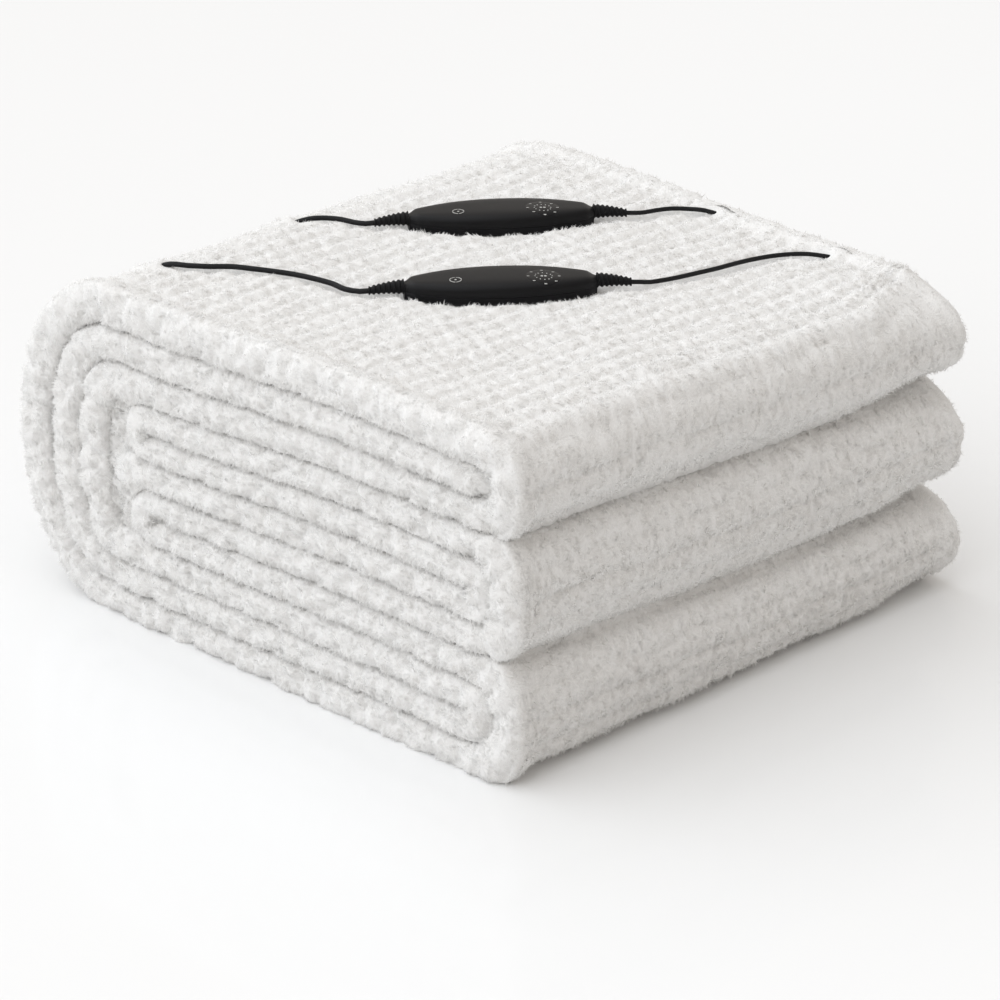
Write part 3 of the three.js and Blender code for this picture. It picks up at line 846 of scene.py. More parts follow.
def distance_to_things(points):
    """How far each point is, level, from the nearest controller or lead that lies on the top."""
    nearest = np.full(len(points), FAR)
    on_top = points[:, 2] > TOP_FROM
    flat = points[on_top][:, :2]
    best = np.full(len(flat), FAR)
    for name in CASES:
        best = np.minimum(best, distance_to_case(flat, name))
    for point in BARE_LEADS:
        best = np.minimum(best, np.hypot(*(flat - point[:2]).T) - MAINS_DIAMETER / 2)
    nearest[on_top] = best
    return nearest


# The pile's relief: rows of tufts across the cloth, staggered, with softer lumps and clumps. Lumps
# and clumps are given as their size, their height and a seed
TUFT_PITCH = 17
TUFT_HEIGHT = 3.0
TUFT_FLATNESS = 0.7
BETWEEN_TUFTS = 0.65
ROW_WANDER = (45, 3, 21)
TUFT_WANDER = (35, 4, 22)
LUMPS = [(58, 1.2, 11), (24, 0.8, 12)]
CLUMPS = [(7, 1.0, 15), (3.6, 0.3, 16)]
CLUMP_SHARPNESS = 9
CLUMP_UNEVENNESS = 0.5
CLUMP_FALL = 1.7
RANDOM_CELLS = 64

# The cut edges: their own lumps, how far they stand out and how they close at the cloth's ends
HEM_LUMP = (30, 1.0, 31)
HEM_CLUMPS = [(13, 4.2, 35), (6, 1.3, 36)]
HEM_CLUMP_STRETCH = 0.75
HEM_ARC = 17.0
HEM_PROUD = 1.1
HEM_SPREAD = 5
HEM_SPREAD_SHARE = 0.7
HEM_SIDE_LUMPS = 0.3
HEM_SQUARENESS = 0.45
HEM_BLEND = 14
HEM_CLOSING = 9
LEAST_CLOSING = 0.3
HEM_LIFT_FROM = (205, 225)
NOSE_REACH = {False: 8, True: 17}
NOSE_OVER = -1
NOSE_BEHIND = 12
NOSE_THINNER = 0.92

# Steps that keep the random patterns of the cloth's sides, ends and noses apart
SIDES_APART = 40.0
ENDS_APART = 50.0
CLUMPED_ENDS_APART = 200
NOSES_APART = 900


def lumps(spot, size, height, seed):
    return height * noise(spot, size, seed)


def clumps(first, second, pitch, seed):
    """Rounded bumps about this far apart with narrow valleys, about 1 from valley to top."""
    table = np.random.default_rng(seed).random((RANDOM_CELLS, RANDOM_CELLS, 3))
    u = first / pitch
    v = second / pitch
    i = np.floor(u).astype(int)
    j = np.floor(v).astype(int)
    total = np.zeros(len(u))
    for step_i, step_j in itertools.product((-1, 0, 1), repeat=2):
        values = table[(i + step_i) % RANDOM_CELLS, (j + step_j) % RANDOM_CELLS]
        square = (i + step_i + values[:, 0] - u) ** 2 + (j + step_j + values[:, 1] - v) ** 2
        total += np.exp(CLUMP_SHARPNESS * (CLUMP_UNEVENNESS * values[:, 2] - CLUMP_FALL * square))
    return np.log(total) / CLUMP_SHARPNESS


def with_clumps(heights, first, second, sizes):
    """These heights with clumps of several sizes on them."""
    for pitch, height, seed in sizes:
        heights = heights + height * clumps(first, second, pitch, seed)
    return heights


def relief(travelled, side, y):
    """How far the pile's surface stands out from the cloth's even surface."""
    spot = np.column_stack([travelled, y, np.full(len(y), SIDES_APART * side)])
    along_cloth = travelled + lumps(spot, *ROW_WANDER)
    along_row = y + lumps(spot, *TUFT_WANDER)
    row = np.abs(np.cos(np.pi * along_cloth / TUFT_PITCH)) ** TUFT_FLATNESS
    parity = np.round(along_cloth / TUFT_PITCH) % 2
    tuft = np.abs(np.cos(np.pi * along_row / TUFT_PITCH + np.pi / 2 * parity)) ** TUFT_FLATNESS
    height = TUFT_HEIGHT * row * (BETWEEN_TUFTS + (1 - BETWEEN_TUFTS) * tuft)
    for lump in LUMPS:
        height += lumps(spot, *lump)
    return with_clumps(height, travelled, y, CLUMPS)


def hem_relief(travelled, end, arc):
    """Lumps along the rounded cut edges."""
    spot = np.column_stack([travelled, arc, np.full(len(travelled), ENDS_APART * end)])
    across = HEM_CLUMP_STRETCH * arc + CLUMPED_ENDS_APART * end
    return with_clumps(lumps(spot, *HEM_LUMP), travelled, across, HEM_CLUMPS)


def hem_offset(travelled, side, height):
    """How far the sides of a rounded cut edge stand from the middle of the cloth."""
    free = free_on(side, travelled)
    spread = np.minimum(HEM_SPREAD, HEM_SPREAD_SHARE * np.maximum(free - TIGHT, 0))
    return HALF_CLOTH + HEM_PROUD + spread + HEM_SIDE_LUMPS * height * (free > OPEN)


def skin(travelled, side, y, sunk=0):
    """Points on the pile's surface on one side of the cloth, away from its cut edges."""
    free = free_on(side, travelled)
    base = cloth_points(travelled, np.full(len(y), side * HALF_CLOTH), y)
    pressed = smoothstep(distance_to_things(base), 0, PRESS_REACH)
    puff = PUFF_SHARE * free * (1 - smoothstep(free, PUFF_FROM, DEEPEST_PILE))
    out = relief(travelled, side, y) * smoothstep(free, TIGHT, WIDE_OPEN)
    out = out + puff * (1 - smoothstep(y, *PUFF_FADE_Y))
    out = out * pressed - PRESS_DEPTH * (1 - pressed) * (base[:, 2] > TOP_FROM) + lift_over_leads(base)
    edge = smoothstep(STACK_DEPTH / 2 - np.abs(y), HEM_DEPTH, HEM_DEPTH + HEM_BLEND)
    hem_start = np.full(len(y), 0.0 if side > 0 else np.pi * HEM_ARC)
    stand = hem_offset(travelled, side, hem_relief(travelled, np.sign(y), hem_start)) - HALF_CLOTH
    out = out * edge + stand * (1 - edge) - sunk
    return above_floor(cloth_points(travelled, side * (HALF_CLOTH + out), y))


def hem_skin(travelled, end, arc, sunk=0):
    """Points on a rounded cut edge: the arc is 0 on one side of the cloth and pi arcs on the other."""
    angle = np.clip(arc / HEM_ARC, 0, np.pi)
    height = hem_relief(travelled, end, arc) - sunk
    across = np.cos(angle)
    from_end = np.clip(np.minimum(travelled, CLOTH_LENGTH - travelled) / HEM_CLOSING, 0, 1)
    closing = np.maximum(np.sqrt(1 - (1 - from_end) ** 2), LEAST_CLOSING if sunk else 0)
    push = (HEM_DEPTH + height) * closing * np.sin(angle) ** HEM_SQUARENESS
    y = end * (STACK_DEPTH / 2 - HEM_DEPTH + push)
    points = cloth_points(travelled, hem_offset(travelled, across, height) * across * closing, y)
    points[:, 2] += lift_over_leads(points) * smoothstep(points[:, 2], *HEM_LIFT_FROM)
    return above_floor(points)


def nose_skin(arc, y, last):
    """Points on the rounded first or last edge of the cloth, from one of its sides to the other."""
    angle = np.clip(arc / HEM_ARC, 0, np.pi)
    travelled = np.full(len(y), CLOTH_LENGTH if last else 0.0)
    share = hem_share(STACK_DEPTH / 2 + NOSE_OVER - np.abs(y))
    height = hem_relief(y + NOSES_APART, 1 if last else -1, arc)
    across = np.cos(angle)
    offset = hem_offset(travelled, across, 0)
    middle = cloth_points(travelled, NOSE_THINNER * offset * across * share, y)
    push = (NOSE_BEHIND + NOSE_REACH[last] + height) * np.sin(angle) ** HEM_SQUARENESS * share
    reach = push - NOSE_BEHIND
    ahead = AHEAD[-1] if last else -AHEAD[0]
    return middle + np.column_stack([ahead[0] * reach, np.zeros(len(y)), ahead[1] * reach])


# The folded cloth as one closed mesh. Between its hems it has fewer points where it is covered and
# straight
FINE_STEP = 8.5
CLOTH_SUNK = 2
COARSE_EVERY = 4
BENT_FROM = 0.06
HEM_ANGLES = np.radians([90, 66, 46, 30, 16])


def strip(first, second):
    """Triangles between two rings with the same points."""
    after_first = np.roll(first, -1)
    after_second = np.roll(second, -1)
    return [
        np.column_stack([first, second, after_second]),
        np.column_stack([first, after_second, after_first]),
    ]


def fan(fine, coarse, kept):
    """Triangles between a ring with every point and a ring with the kept ones."""
    size = len(fine)
    faces = []
    for place, low in enumerate(kept):
        following = (place + 1) % len(kept)
        span = (kept[following] - low) % size or size
        half = span // 2
        here, there = coarse[place], coarse[following]
        for step in range(span):
            owner = here if step < half or span == 1 else there
            faces.append((fine[(low + step) % size], owner, fine[(low + step + 1) % size]))
        pivot = fine[(low + (half if span > 1 else 1)) % size]
        faces.append((pivot, here, there))
    return np.array(faces)


def add_pad():
    """The folded cloth as one closed mesh, fine where it shows and coarse between its layers."""
    count = int(CLOTH_LENGTH // FINE_STEP)
    travelled = np.linspace(0, CLOTH_LENGTH, count)
    sides = np.repeat([1.0, -1.0], count)
    around = np.concatenate([travelled, travelled[::-1]])
    bend = np.abs(np.gradient(np.unwrap(np.arctan2(*sample(AHEAD, travelled).T))))
    keep = (free_on(sides, around) > TIGHT) | (np.concatenate([bend, bend[::-1]]) > BENT_FROM)
    keep[::COARSE_EVERY] = True
    keep[[0, count - 1, count, 2 * count - 1]] = True
    kept = np.flatnonzero(keep)

    inner = STACK_DEPTH / 2 - HEM_DEPTH
    rings = [(-1, angle) for angle in HEM_ANGLES]
    rings.extend((0, y) for y in np.linspace(-inner, inner, int(2 * inner // FINE_STEP)))
    rings.extend((1, angle) for angle in HEM_ANGLES[::-1])
    vertices, ids = [], []
    total = 0
    for end, value in rings:
        if end:
            angles = np.where(sides > 0, value, np.pi - value)
            points = hem_skin(around, end, angles * HEM_ARC, CLOTH_SUNK)
        else:
            halves = [(side, around[kept][sides[kept] == side]) for side in (1, -1)]
            points = np.vstack([
                skin(places, side, np.full(len(places), value), CLOTH_SUNK) for side, places in halves])
        ids.append(total + np.arange(len(points)))
        total += len(points)
        vertices.append(points)

    triangles = []
    for (end, _), (next_end, _), first, second in zip(rings, rings[1:], ids, ids[1:]):
        if bool(end) == bool(next_end):
            triangles.extend(strip(first, second))
        elif end:
            triangles.append(fan(first, second, kept))
        else:
            triangles.append(fan(second, first, kept)[:, ::-1])
    for ring, way in ((ids[0], 1), (ids[-1], -1)):
        left = ring[:count]
        right = ring[:count - 1:-1]
        triangles.append(np.column_stack([left[:-1], left[1:], right[1:]])[:, ::way])
        triangles.append(np.column_stack([left[:-1], right[1:], right[:-1]])[:, ::way])
    cloth = mesh_object("pad_cloth", np.vstack(vertices), np.vstack(triangles)[:, ::-1], FLEECE)
    tidy_solid(cloth.data)
    return cloth


# The pile: a finely lumpy skin, and on it short tapering locks, each one thin triangle, in clumps
# that lean together. A span is how much a clump's own random value adds
CLUMP_PULL = 0.35
CLUMP_PLACE_FROM = 0.2
CLUMP_PLACE_SPAN = 0.6
CLUMP_LENGTH_FROM = 0.7
CLUMP_LENGTH_SPAN = 0.6
CLUMP_LEAN_SPAN = 0.3
COMBED_SPAN = 0.4
LOCK_PITCH = 4.5
LOCK_LENGTHS = (0.7, 1.15)
LOCK_WIDTH = 0.8
LOCK_WIDTHS = (0.7, 1.3)
LOCK_SUNK = 0.5
LOCK_LEAN = math.radians(67)
LOCK_TURN_SPREAD = 0.6
LOCK_LEAN_SPREAD = 0.25
LOCK_FACING_SPREAD = 0.35
LOCK_OWN_NORMAL = 0.12
NORMAL_STEP = 1.2


def sheet_of(surface, first, second, way):
    """Vertices and triangles of a grid of surface points. The way is -1 where the surface's own
    directions turn about the inward normal."""
    a, b = (grid.ravel() for grid in np.meshgrid(first, second, indexing="ij"))
    vertices = surface(a, b)
    ids = np.arange(len(a)).reshape(len(first), len(second))
    quads = [grid.ravel() for grid in (ids[:-1, :-1], ids[1:, :-1], ids[1:, 1:], ids[:-1, 1:])]
    faces = np.vstack([np.column_stack(quads[:3]), np.column_stack([quads[0], *quads[2:]])])
    return vertices, faces[:, ::way]


def vertex_normals(vertices, faces):
    a, b, c = (vertices[faces[:, corner]] for corner in range(3))
    flat = np.cross(b - a, c - a)
    normals = np.zeros_like(vertices)
    for corner in range(3):
        for axis in range(3):
            normals[:, axis] += np.bincount(faces[:, corner], flat[:, axis], len(vertices))
    return unit(normals)


def locks(surface, first, second, length, seed, way, combed=None):
    """Vertices, triangles and normals of locks that stand at these surface coordinates. Combed locks
    lean mostly at that angle on the surface."""
    rng = np.random.default_rng(seed)
    count = len(first)
    root = surface(first, second)
    along = unit(surface(first + NORMAL_STEP, second) - root)
    across = unit(surface(first, second + NORMAL_STEP) - root)
    normal = unit(np.cross(along, across)) * way
    table = rng.random((RANDOM_CELLS, RANDOM_CELLS, 5))
    i = np.floor(first / LOCK_PITCH).astype(int)
    j = np.floor(second / LOCK_PITCH).astype(int)
    values = table[i % RANDOM_CELLS, j % RANDOM_CELLS]
    middle_first = (i + CLUMP_PLACE_FROM + CLUMP_PLACE_SPAN * values[:, 0]) * LOCK_PITCH
    middle_second = (j + CLUMP_PLACE_FROM + CLUMP_PLACE_SPAN * values[:, 1]) * LOCK_PITCH
    to_middle = along * (middle_first - first)[:, None] + across * (middle_second - second)[:, None]
    azimuth = 2 * np.pi * values[:, 2]
    if combed is not None:
        azimuth = combed + COMBED_SPAN * (azimuth - np.pi)
    lean = LOCK_LEAN + CLUMP_LEAN_SPAN * (values[:, 3] - 0.5)

    def direction(turn, tilt):
        level = along * np.cos(turn)[:, None] + across * np.sin(turn)[:, None]
        return normal * np.cos(tilt)[:, None] + level * np.sin(tilt)[:, None]

    clump_reach = length * (CLUMP_LENGTH_FROM + CLUMP_LENGTH_SPAN * values[:, 4])
    reach = clump_reach * rng.uniform(*LOCK_LENGTHS, count)
    own_turn = azimuth + rng.normal(0, LOCK_TURN_SPREAD, count)
    own_lean = lean + rng.normal(0, LOCK_LEAN_SPREAD, count)
    own = root + direction(own_turn, own_lean) * reach[:, None]
    clump = root + to_middle + direction(azimuth, lean) * clump_reach[:, None]
    tip = own * (1 - CLUMP_PULL) + clump * CLUMP_PULL
    heading = unit(tip - root)
    facing = unit(normal + LOCK_FACING_SPREAD * rng.normal(0, 1, normal.shape))
    half_width = LOCK_WIDTH / 2 * rng.uniform(*LOCK_WIDTHS, count)
    width = unit(np.cross(heading, facing)) * half_width[:, None]
    base = root - normal * LOCK_SUNK
    vertices = np.stack([base - width, base + width, tip], axis=1)
    flat_normal = np.cross(vertices[:, 1] - vertices[:, 0], vertices[:, 2] - vertices[:, 0])
    turned = np.sum(flat_normal * normal, axis=1) < 0
    flat_normal = unit(flat_normal) * np.where(turned, -1, 1)[:, None]
    vertices[turned] = vertices[turned][:, ::-1]
    soft = normal * (1 - LOCK_OWN_NORMAL) + flat_normal * LOCK_OWN_NORMAL
    normals = unit(np.repeat(soft, 3, axis=0))
    return vertices.reshape(-1, 3), np.arange(3 * count).reshape(-1, 3), normals


def pile_piece(name, surface, sheets, grown, way):
    """One mesh of skins and locks."""
    parts = []
    for first, second in sheets:
        vertices, faces = sheet_of(surface, first, second, way)
        parts.append((vertices, faces, vertex_normals(vertices, faces), 0))
    parts.extend((*part, 1) for part in grown)
    vertices, faces, normals, kinds = zip(*parts)
    starts = np.cumsum([0, *(len(part) for part in vertices)])
    all_faces = np.vstack([part + start for part, start in zip(faces, starts)])
    # The skins take the material with painted shade, darker than the locks that stand on them
    piece = mesh_object(name, above_floor(np.vstack(vertices)), all_faces, SHADE_PAINTED_SKIN, np.vstack(normals))
    piece.data.materials.append(PILE)
    kind_of_face = np.repeat(kinds, [len(part) for part in faces])
    piece.data.polygons.foreach_set("material_index", kind_of_face.astype(np.int32))
    return piece


def runs(values, spacing):
    """Stretches of a sorted list of places, each as evenly spaced places."""
    breaks = np.flatnonzero(np.diff(values) > 2 * FINE)
    stretches = np.split(values, breaks + 1)
    return [
        np.linspace(part[0] - FINE, part[-1] + 2 * FINE, max(2, round((part[-1] - part[0]) / spacing)))
        for part in stretches if part[-1] - part[0] > 4 * spacing
    ]


# The edges of the parts of the stack's outside in the even section
UNDERSIDE_TO = 1
TOP_SIDE_FROM = 200
LOBES_FROM_X = 200
WRAP_TO_X = -222


def open_ranges():
    """Places along the cloth where its outer side shows, by part of the stack."""
    travelled = np.arange(0, CLOTH_LENGTH, FINE)
    x, z = cloth_section(travelled, OUTER_SIDE * HALF_CLOTH)
    shown = (free_on(OUTER_SIDE, travelled) > OPEN) & (z > UNDERSIDE_TO)
    lobes = shown & (x > LOBES_FROM_X)
    wrap = shown & (x < WRAP_TO_X)
    top = shown & (z > TOP_SIDE_FROM) & ~lobes & ~wrap
    return {"top": travelled[top], "lobes": travelled[lobes], "wrap": travelled[wrap]}


# For each part of the pile: the spacing of its skin, how many locks it has and their length
PILE_PARTS = {"top": (1.9, 86000, 4.0), "lobes": (1.9, 82000, 4.6), "wrap": (3.0, 52000, 5.5)}
# For each part along a cut edge: its end, from where to where, the spacing of its skin and its locks
HEM_PARTS = {
    "front_outer": (-1, 0, 0.5, 1.7, 73000),
    "front_inner": (-1, 0.5, 1, 1.7, 73000),
    "back": (1, 0, 1, 3.0, 46000),
}
PILE_LENGTH = 5.5
HEM_PILE_LENGTH = 5.0
SKIN_OVERLAP = 4
SKIN_END = STACK_DEPTH / 2 - HEM_DEPTH + SKIN_OVERLAP
BARE_NEAR_THINGS = 0.8
PRESSED_LENGTH = 0.25
HEM_SIDE_LENGTH = 0.6
HEM_LOCKS_AROUND = (0.01, 0.99)
HEM_SKIN_AROUND = (0.002, 0.998)
HEM_RADIUS = 13
INNER_DEPTH = 70
INNER_LOCKS = 16000
INNER_SPACING = 2.5
CURTAIN_IN = 8
CURTAIN_CLUMPS = [(11, 4, 41), (5, 1.5, 42)]
CURTAIN_SPACING = 2
CURTAINS = [((-174, -126), (58, 186)), ((208, 240), (176, 232))]
NOSE_LOCKS = 9000
NOSE_LOCKS_AROUND = (0.02, 0.98)
NOSE_STEPS = (20, 240)


def add_inner_pile():
    """The pile in the hollows beside the folds, as deep as it shows from the front."""
    rng = np.random.default_rng(130)
    places = np.arange(0, CLOTH_LENGTH, FINE)
    hollow = places[free_on(-OUTER_SIDE, places) > HOLLOW]

    def inner_skin(travelled, y):
        return skin(travelled, -OUTER_SIDE, y)

    travelled = rng.choice(hollow, INNER_LOCKS) + rng.uniform(0, FINE, INNER_LOCKS)
    y = INNER_DEPTH * rng.random(INNER_LOCKS) - SKIN_END
    grown = locks(inner_skin, travelled, y, PILE_LENGTH, 1300, -OUTER_SIDE)
    across = np.linspace(-SKIN_END, INNER_DEPTH - SKIN_END, round(INNER_DEPTH / INNER_SPACING))
    deep = [(part, across) for part in runs(hollow, INNER_SPACING)]
    return pile_piece("pile_hollows", inner_skin, deep, [grown], -OUTER_SIDE)


def add_curtains(end, seed):
    """The pile that meets across the hollows in the stack, a little way in from its face."""
    rng = np.random.default_rng(seed)

    def surface(x, z):
        y = end * (STACK_DEPTH / 2 - CURTAIN_IN + with_clumps(0, x, z, CURTAIN_CLUMPS))
        return settled_points(x, y, z)

    sheets, grown = [], []
    for ranges in CURTAINS:
        width, height = (high - low for low, high in ranges)
        x, z = (rng.uniform(low, high, width * height) for low, high in ranges)
        grown.append(locks(surface, x, z, PILE_LENGTH, seed * 10, -end))
        sheets.append([np.linspace(low, high, (high - low) // CURTAIN_SPACING) for low, high in ranges])
    name = "pile_hollow_front" if end < 0 else "pile_hollow_back"
    return pile_piece(name, surface, sheets, grown, -end)


ARC_SAMPLES = 721


def even_arcs(shares):
    """Places around a rounded edge that are evenly far apart for even shares from 0 to 1."""
    angle = np.linspace(0, np.pi, ARC_SAMPLES)
    profile = np.column_stack([HALF_CLOTH * np.cos(angle), HEM_DEPTH * np.sin(angle) ** HEM_SQUARENESS])
    steps = np.linalg.norm(np.diff(profile, axis=0), axis=1)
    travelled = np.concatenate([[0], np.cumsum(steps)])
    return HEM_ARC * np.interp(shares, travelled / travelled[-1], angle)


def add_nose_pile(name, last, seed):
    """The pile on the first or last edge of the cloth, which shows at the front and the back."""
    rng = np.random.default_rng(seed)
    arc = even_arcs(rng.uniform(*NOSE_LOCKS_AROUND, NOSE_LOCKS))
    y = rng.uniform(-1, 1, NOSE_LOCKS) * (STACK_DEPTH / 2 + NOSE_OVER - 1)

    def surface(arc, y):
        return nose_skin(arc, y, last)

    way = 1 if last else -1
    grown = locks(surface, arc, y, HEM_PILE_LENGTH, seed * 10, way)
    arcs = even_arcs(np.linspace(0, 1, NOSE_STEPS[0]))
    across = np.linspace(-1, 1, NOSE_STEPS[1]) * (STACK_DEPTH / 2 + NOSE_OVER)
    return pile_piece(name, surface, [(arcs, across)], [grown], way)


def add_open_pile(name, places, seed):
    """The pile on one part of the cloth's outer side."""
    spacing, count, pile_length = PILE_PARTS[name]
    rng = np.random.default_rng(seed)

    def outer_skin(travelled, y):
        return skin(travelled, OUTER_SIDE, y)

    travelled = rng.choice(places, count) + rng.uniform(0, FINE, count)
    y = rng.uniform(-SKIN_END, SKIN_END, count)
    near = distance_to_things(outer_skin(travelled, y))
    free = near > BARE_NEAR_THINGS
    travelled, y, near = travelled[free], y[free], near[free]
    length = pile_length * (PRESSED_LENGTH + (1 - PRESSED_LENGTH) * smoothstep(near, 0, PRESS_REACH))
    across = np.linspace(-SKIN_END, SKIN_END, round(2 * SKIN_END / spacing))
    sheets = [(part, across) for part in runs(places, spacing)]
    grown = locks(outer_skin, travelled, y, length, seed * 10, OUTER_SIDE)
    return pile_piece(f"pile_{name}", outer_skin, sheets, [grown], OUTER_SIDE)


def add_hem_pile(name, seed):
    """The pile on one part of the cut edges."""
    end, low, high, spacing, count = HEM_PARTS[name]
    rng = np.random.default_rng(seed)

    def edge_skin(travelled, arc):
        return hem_skin(travelled, end, arc)

    travelled = CLOTH_LENGTH * rng.uniform(low, high, count)
    angle = even_arcs(rng.uniform(*HEM_LOCKS_AROUND, count)) / HEM_ARC
    length = HEM_PILE_LENGTH * (HEM_SIDE_LENGTH + (1 - HEM_SIDE_LENGTH) * np.sin(angle))
    combed = np.where(angle < np.pi / 2, -np.pi / 2, np.pi / 2)
    grown = locks(edge_skin, travelled, angle * HEM_ARC, length, seed * 10, end, combed)
    reach = CLOTH_LENGTH * (high - low)
    along = np.linspace(CLOTH_LENGTH * low, CLOTH_LENGTH * high, round(reach / spacing))
    arcs = even_arcs(np.linspace(*HEM_SKIN_AROUND, round(np.pi * HEM_RADIUS / spacing)))
    return pile_piece(f"pile_{name}", edge_skin, [(along, arcs)], [grown], end)


def add_pile():
    ranges = open_ranges()
    return [
        *(add_open_pile(name, ranges[name], seed) for seed, name in enumerate(PILE_PARTS, start=100)),
        *(add_hem_pile(name, seed) for seed, name in enumerate(HEM_PARTS, start=110)),
        add_inner_pile(),
        *(add_curtains(end, 140 + end) for end in (-1, 1)),
        add_nose_pile("pile_first_edge", False, 150),
        add_nose_pile("pile_last_edge", True, 151),
    ]


# The controllers

def move_to_case(mesh, name):
    """Moves a mesh that is built at the origin to the place of a case."""
    place = case_matrix(name)
    place.translation = place.translation * MM
    mesh.transform(place)


def case_piece(name, piece_name, sections, material):
    piece = closed_loft(f"{name}_{piece_name}", sections, material)
    move_to_case(piece.data, name)
    return piece


# Steps over a case, and its sections as shares of half its length, closer together at its ends
CASE_ARC_STEPS = 36
CASE_ENDS = [0.915, 0.94, 0.965, 0.985, 0.995, 1]
CASE_SHARES = [*(-share for share in CASE_ENDS[::-1]), *np.linspace(-0.89, 0.89, 45), *CASE_ENDS]


def case_sections(points_at):
    return [[(x, share * CASE_LENGTH / 2, z) for x, z in points_at(share)] for share in CASE_SHARES]


def crown_at(share):
    """The upper shell's height at its middle, which falls towards the ends."""
    blunt = 1 - BLUNT_LOWER * float(smoothstep(abs(share), BLUNT_FROM, 1))
    return (UPPER_SHELL_HEIGHT - CROWN_FALL_AT_ENDS * share * share) * blunt


def upper_points(share):
    half = float(case_half_width(share))
    points = []
    for i in range(CASE_ARC_STEPS + 1):
        across, rise = boxy(math.pi * (1 - i / CASE_ARC_STEPS), CROWN_BOXINESS)
        points.append((half * across, LOWER_SHELL_HEIGHT + GAP + (crown_at(share) - GAP) * abs(rise)))
    return points


# The lower shell's small chamfer at the seam, and how its big chamfer is rounded
SEAM_CHAMFER = 0.3
FOOT_ROUNDING = 0.4
FOOT_ROUNDING_LOW = 0.5


def lower_points(share):
    half = float(case_half_width(share))
    left = [
        (-half + LOWER_CHAMFER, 0),
        (-half + FOOT_ROUNDING, LOWER_CHAMFER - FOOT_ROUNDING_LOW),
        (-half, LOWER_CHAMFER + FOOT_ROUNDING),
        (-half, LOWER_SHELL_HEIGHT - SEAM_CHAMFER),
        (-half + SEAM_CHAMFER, LOWER_SHELL_HEIGHT),
    ]
    return [*left, *((-x, z) for x, z in left[::-1])]


RELIEF_SIDES = 24
STEPS_PER_RIB = 8
RIB_EDGE = (0.35, 0.65)


def relief_sections(way):
    """The tapering strain relief with its ribs, from one end of the case."""
    sections = []
    steps = RELIEF_RIBS * STEPS_PER_RIB
    for step in range(steps + 1):
        share = step / steps
        wave = 0.5 - 0.5 * math.cos(2 * math.pi * share * RELIEF_RIBS)
        radius = RELIEF_BASE_RADIUS + (RELIEF_TIP_RADIUS - RELIEF_BASE_RADIUS) * share
        radius -= RELIEF_RIB_STEP * smoothstep(wave, *RIB_EDGE)
        centre = (0, RELIEF_BASE_Z + (RELIEF_TIP_Z - RELIEF_BASE_Z) * share * share)
        ring = [polar(centre, radius, way * angle) for angle in turns(RELIEF_SIDES)]
        y = way * (CASE_LENGTH / 2 + GAP + share * RELIEF_LENGTH)
        sections.append([(x, y, z) for x, z in ring])
    return sections


def crown_height(across, along):
    """The height of the upper shell over a place on it."""
    share = along / (CASE_LENGTH / 2)
    half = float(case_half_width(share))
    run = min(abs(across) / half, 1) ** (1 / CROWN_BOXINESS)
    return LOWER_SHELL_HEIGHT + GAP + (crown_at(share) - GAP) * math.sqrt(1 - run * run) ** CROWN_BOXINESS


# What shows on the upper shell: a dial plate with two rings of marks, and a ring with a dot. The
# plate's rings are their radius and their height over the crown
DIAL_PLACE = (7, DIAL_ALONG)
DIAL_PLATE_RADIUS = 12.6
DIAL_FLAT_HEIGHT = 0.1
DIAL_PLATE_RINGS = [
    *((radius, DIAL_FLAT_HEIGHT) for radius in (0.8, 3, 6, 9, 11, DIAL_PLATE_RADIUS - 0.3)),
    (DIAL_PLATE_RADIUS, 0.02),
    (DIAL_PLATE_RADIUS + 0.15, -0.4),
]
DOT_RING_RADIUS = 6.2
DOT_COUNT = 12
DOT_RADIUS = 0.5
MIDDLE_DOT_RADIUS = 1.0
MIDDLE_DOT_SHIFT = 1.3
TICK_RING_RADIUS = 11.2
TICK_COUNT = 8
TICK_LENGTH = 1.9
TICK_WIDTH = 0.7
SYMBOL_PLACE = (8, -33.5)
SYMBOL_RADIUS = 4.4
SYMBOL_LINE = 0.5
SYMBOL_DOT_RADIUS = 0.8
SYMBOL_STEPS = 36
SYMBOL_GAP_EVERY = 9
MARK_HEIGHT = 0.22
MARK_ROOT = -0.4
PLATE_SIDES = 48
MIDDLE_DOT_SIDES = 16
DOT_SIDES = 10
SYMBOL_DOT_SIDES = 12


def disc_outline(centre, radius, sides):
    return [polar(centre, radius, angle) for angle in turns(sides)]


def raised_patches(name, piece_name, outlines, material):
    """Thin patches on the upper shell, each a fan from its middle that follows the crown."""
    vertices = []
    faces = []
    for outline in outlines:
        start = len(vertices)
        size = len(outline)
        below = start + size + 1
        middle = tuple(np.mean(outline, axis=0))
        for depth in (MARK_HEIGHT, MARK_ROOT):
            vertices.extend((x, y, crown_height(x, y) + depth) for x, y in [*outline, middle])
        for i in range(size):
            j = (i + 1) % size
            faces.append((start + i, start + j, start + size))
            faces.append((below + j, below + i, below + size))
            faces.append((below + i, below + j, start + j, start + i))
    mesh = polygon_mesh(f"{name}_{piece_name}", vertices, faces)
    move_to_case(mesh, name)
    return link(f"{name}_{piece_name}", mesh, material)


def add_dial(name):
    """The round plate let into the upper shell, in rings so that it follows the crown."""
    sections = []
    for radius, height in DIAL_PLATE_RINGS:
        outline = disc_outline(DIAL_PLACE, radius, PLATE_SIDES)
        sections.append([(x, y, crown_height(x, y) + height) for x, y in outline])
    dress(case_piece(name, "dial_plate", sections, INSET), "inset", f"{name}_dial")


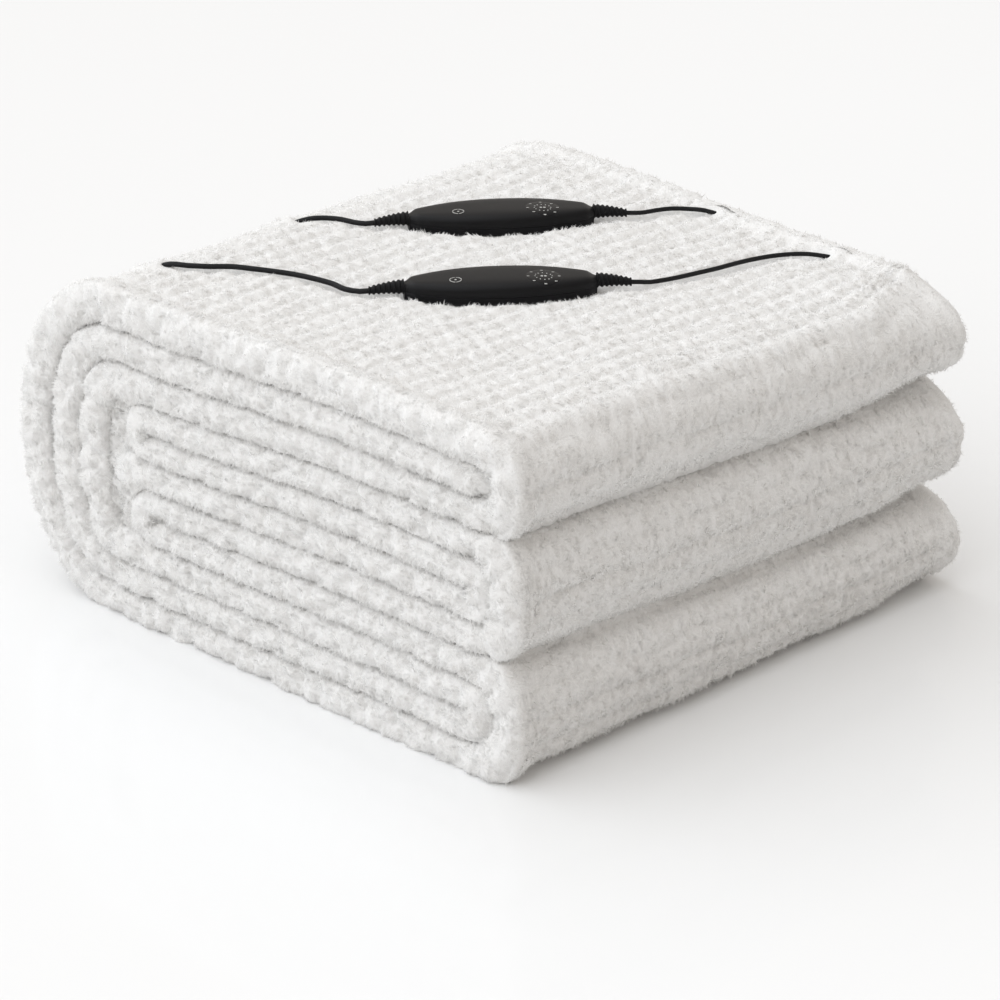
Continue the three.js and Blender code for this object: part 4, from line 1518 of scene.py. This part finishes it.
def add_marks(name):
    """Pale marks printed on the dial and beside it."""
    outlines = []
    for shift in (-MIDDLE_DOT_SHIFT, MIDDLE_DOT_SHIFT):
        spot = (DIAL_PLACE[0], DIAL_PLACE[1] + shift)
        outlines.append(disc_outline(spot, MIDDLE_DOT_RADIUS, MIDDLE_DOT_SIDES))
    for angle in turns(DOT_COUNT):
        outlines.append(disc_outline(polar(DIAL_PLACE, DOT_RING_RADIUS, angle), DOT_RADIUS, DOT_SIDES))
    for angle in turns(TICK_COUNT):
        x, y = polar(DIAL_PLACE, TICK_RING_RADIUS, angle)
        outlines.append([
            (x + across * TICK_WIDTH / 2, y + along * TICK_LENGTH / 2)
            for across, along in ((-1, -1), (1, -1), (1, 1), (-1, 1))
        ])
    outlines.append(disc_outline(SYMBOL_PLACE, SYMBOL_DOT_RADIUS, SYMBOL_DOT_SIDES))
    for i in range(SYMBOL_STEPS):
        if i % SYMBOL_GAP_EVERY == SYMBOL_GAP_EVERY - 1:
            continue
        start, stop = (2 * math.pi * (i + shift) / SYMBOL_STEPS for shift in (0, 1))
        outer, inner = SYMBOL_RADIUS, SYMBOL_RADIUS - SYMBOL_LINE
        corners = ((outer, start), (outer, stop), (inner, stop), (inner, start))
        outlines.append([polar(SYMBOL_PLACE, radius, angle) for radius, angle in corners])
    dress(raised_patches(name, "marks", outlines, PRINT), "inset")


def add_controller(name):
    upper = case_piece(name, "case_top", case_sections(upper_points), CASE)
    dress(upper, "case", f"{name}_upper_shell")
    lower = case_piece(name, "case_base", case_sections(lower_points), CASE)
    dress(lower, "case", f"{name}_lower_shell")
    add_dial(name)
    add_marks(name)
    for part, way in (("mains", -1), ("pad", 1)):
        boot = case_piece(name, f"{part}_boot", relief_sections(way), RELIEF)
        dress(boot, "relief", f"{name}_{part}_relief")


# The studio: a pale floor, an even world and one wide soft light from the left, above the front
FLOOR_SIZE = 24
FLOOR_COLOUR = (0.88, 0.884, 0.886, 1)
WORLD_COLOUR = (1, 0.945, 0.885, 1)
WORLD_STRENGTH = 0.64
SUN_COLOUR = (0.885, 0.938, 1)
SUN_ENERGY = 2.28
SUN_ANGLE = math.radians(105)
SUN_DIRECTION = (-0.42, -0.46, 0.78)


def add_stage():
    bpy.ops.mesh.primitive_plane_add(size=FLOOR_SIZE)
    floor = bpy.context.object
    floor.name = "studio_floor"
    floor.data.materials.append(plain_material(
        "studio_floor", Base_Color=FLOOR_COLOUR, Roughness=0.1, Specular_IOR_Level=0.3))
    world = bpy.data.worlds.new("studio")
    bpy.context.scene.world = world
    world.use_nodes = True
    background = world.node_tree.nodes["Background"]
    set_sockets(background, {"Color": WORLD_COLOUR, "Strength": WORLD_STRENGTH})
    sun = bpy.data.lights.new("key", "SUN")
    sun.energy = SUN_ENERGY
    sun.color = SUN_COLOUR
    sun.angle = SUN_ANGLE
    key = link("key", sun)
    key.rotation_euler = Vector(SUN_DIRECTION).to_track_quat("Z", "Y").to_euler()


add_camera()
plug_pieces = {name: add_plug(name) for name in PLUGS}
for lead_name in LEADS:
    add_lead(lead_name)

pad = dress(add_pad(), "fleece", "fleece_pad")
pile = [dress(piece, "fleece") for piece in add_pile()]
for case_name in CASES:
    add_controller(case_name)
for node_name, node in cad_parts.items():
    if "blade" in node_name:
        node.data.materials.clear()
        node.data.materials.append(BLADE)
add_stage()
bpy.context.scene.view_settings.view_transform = "Standard"
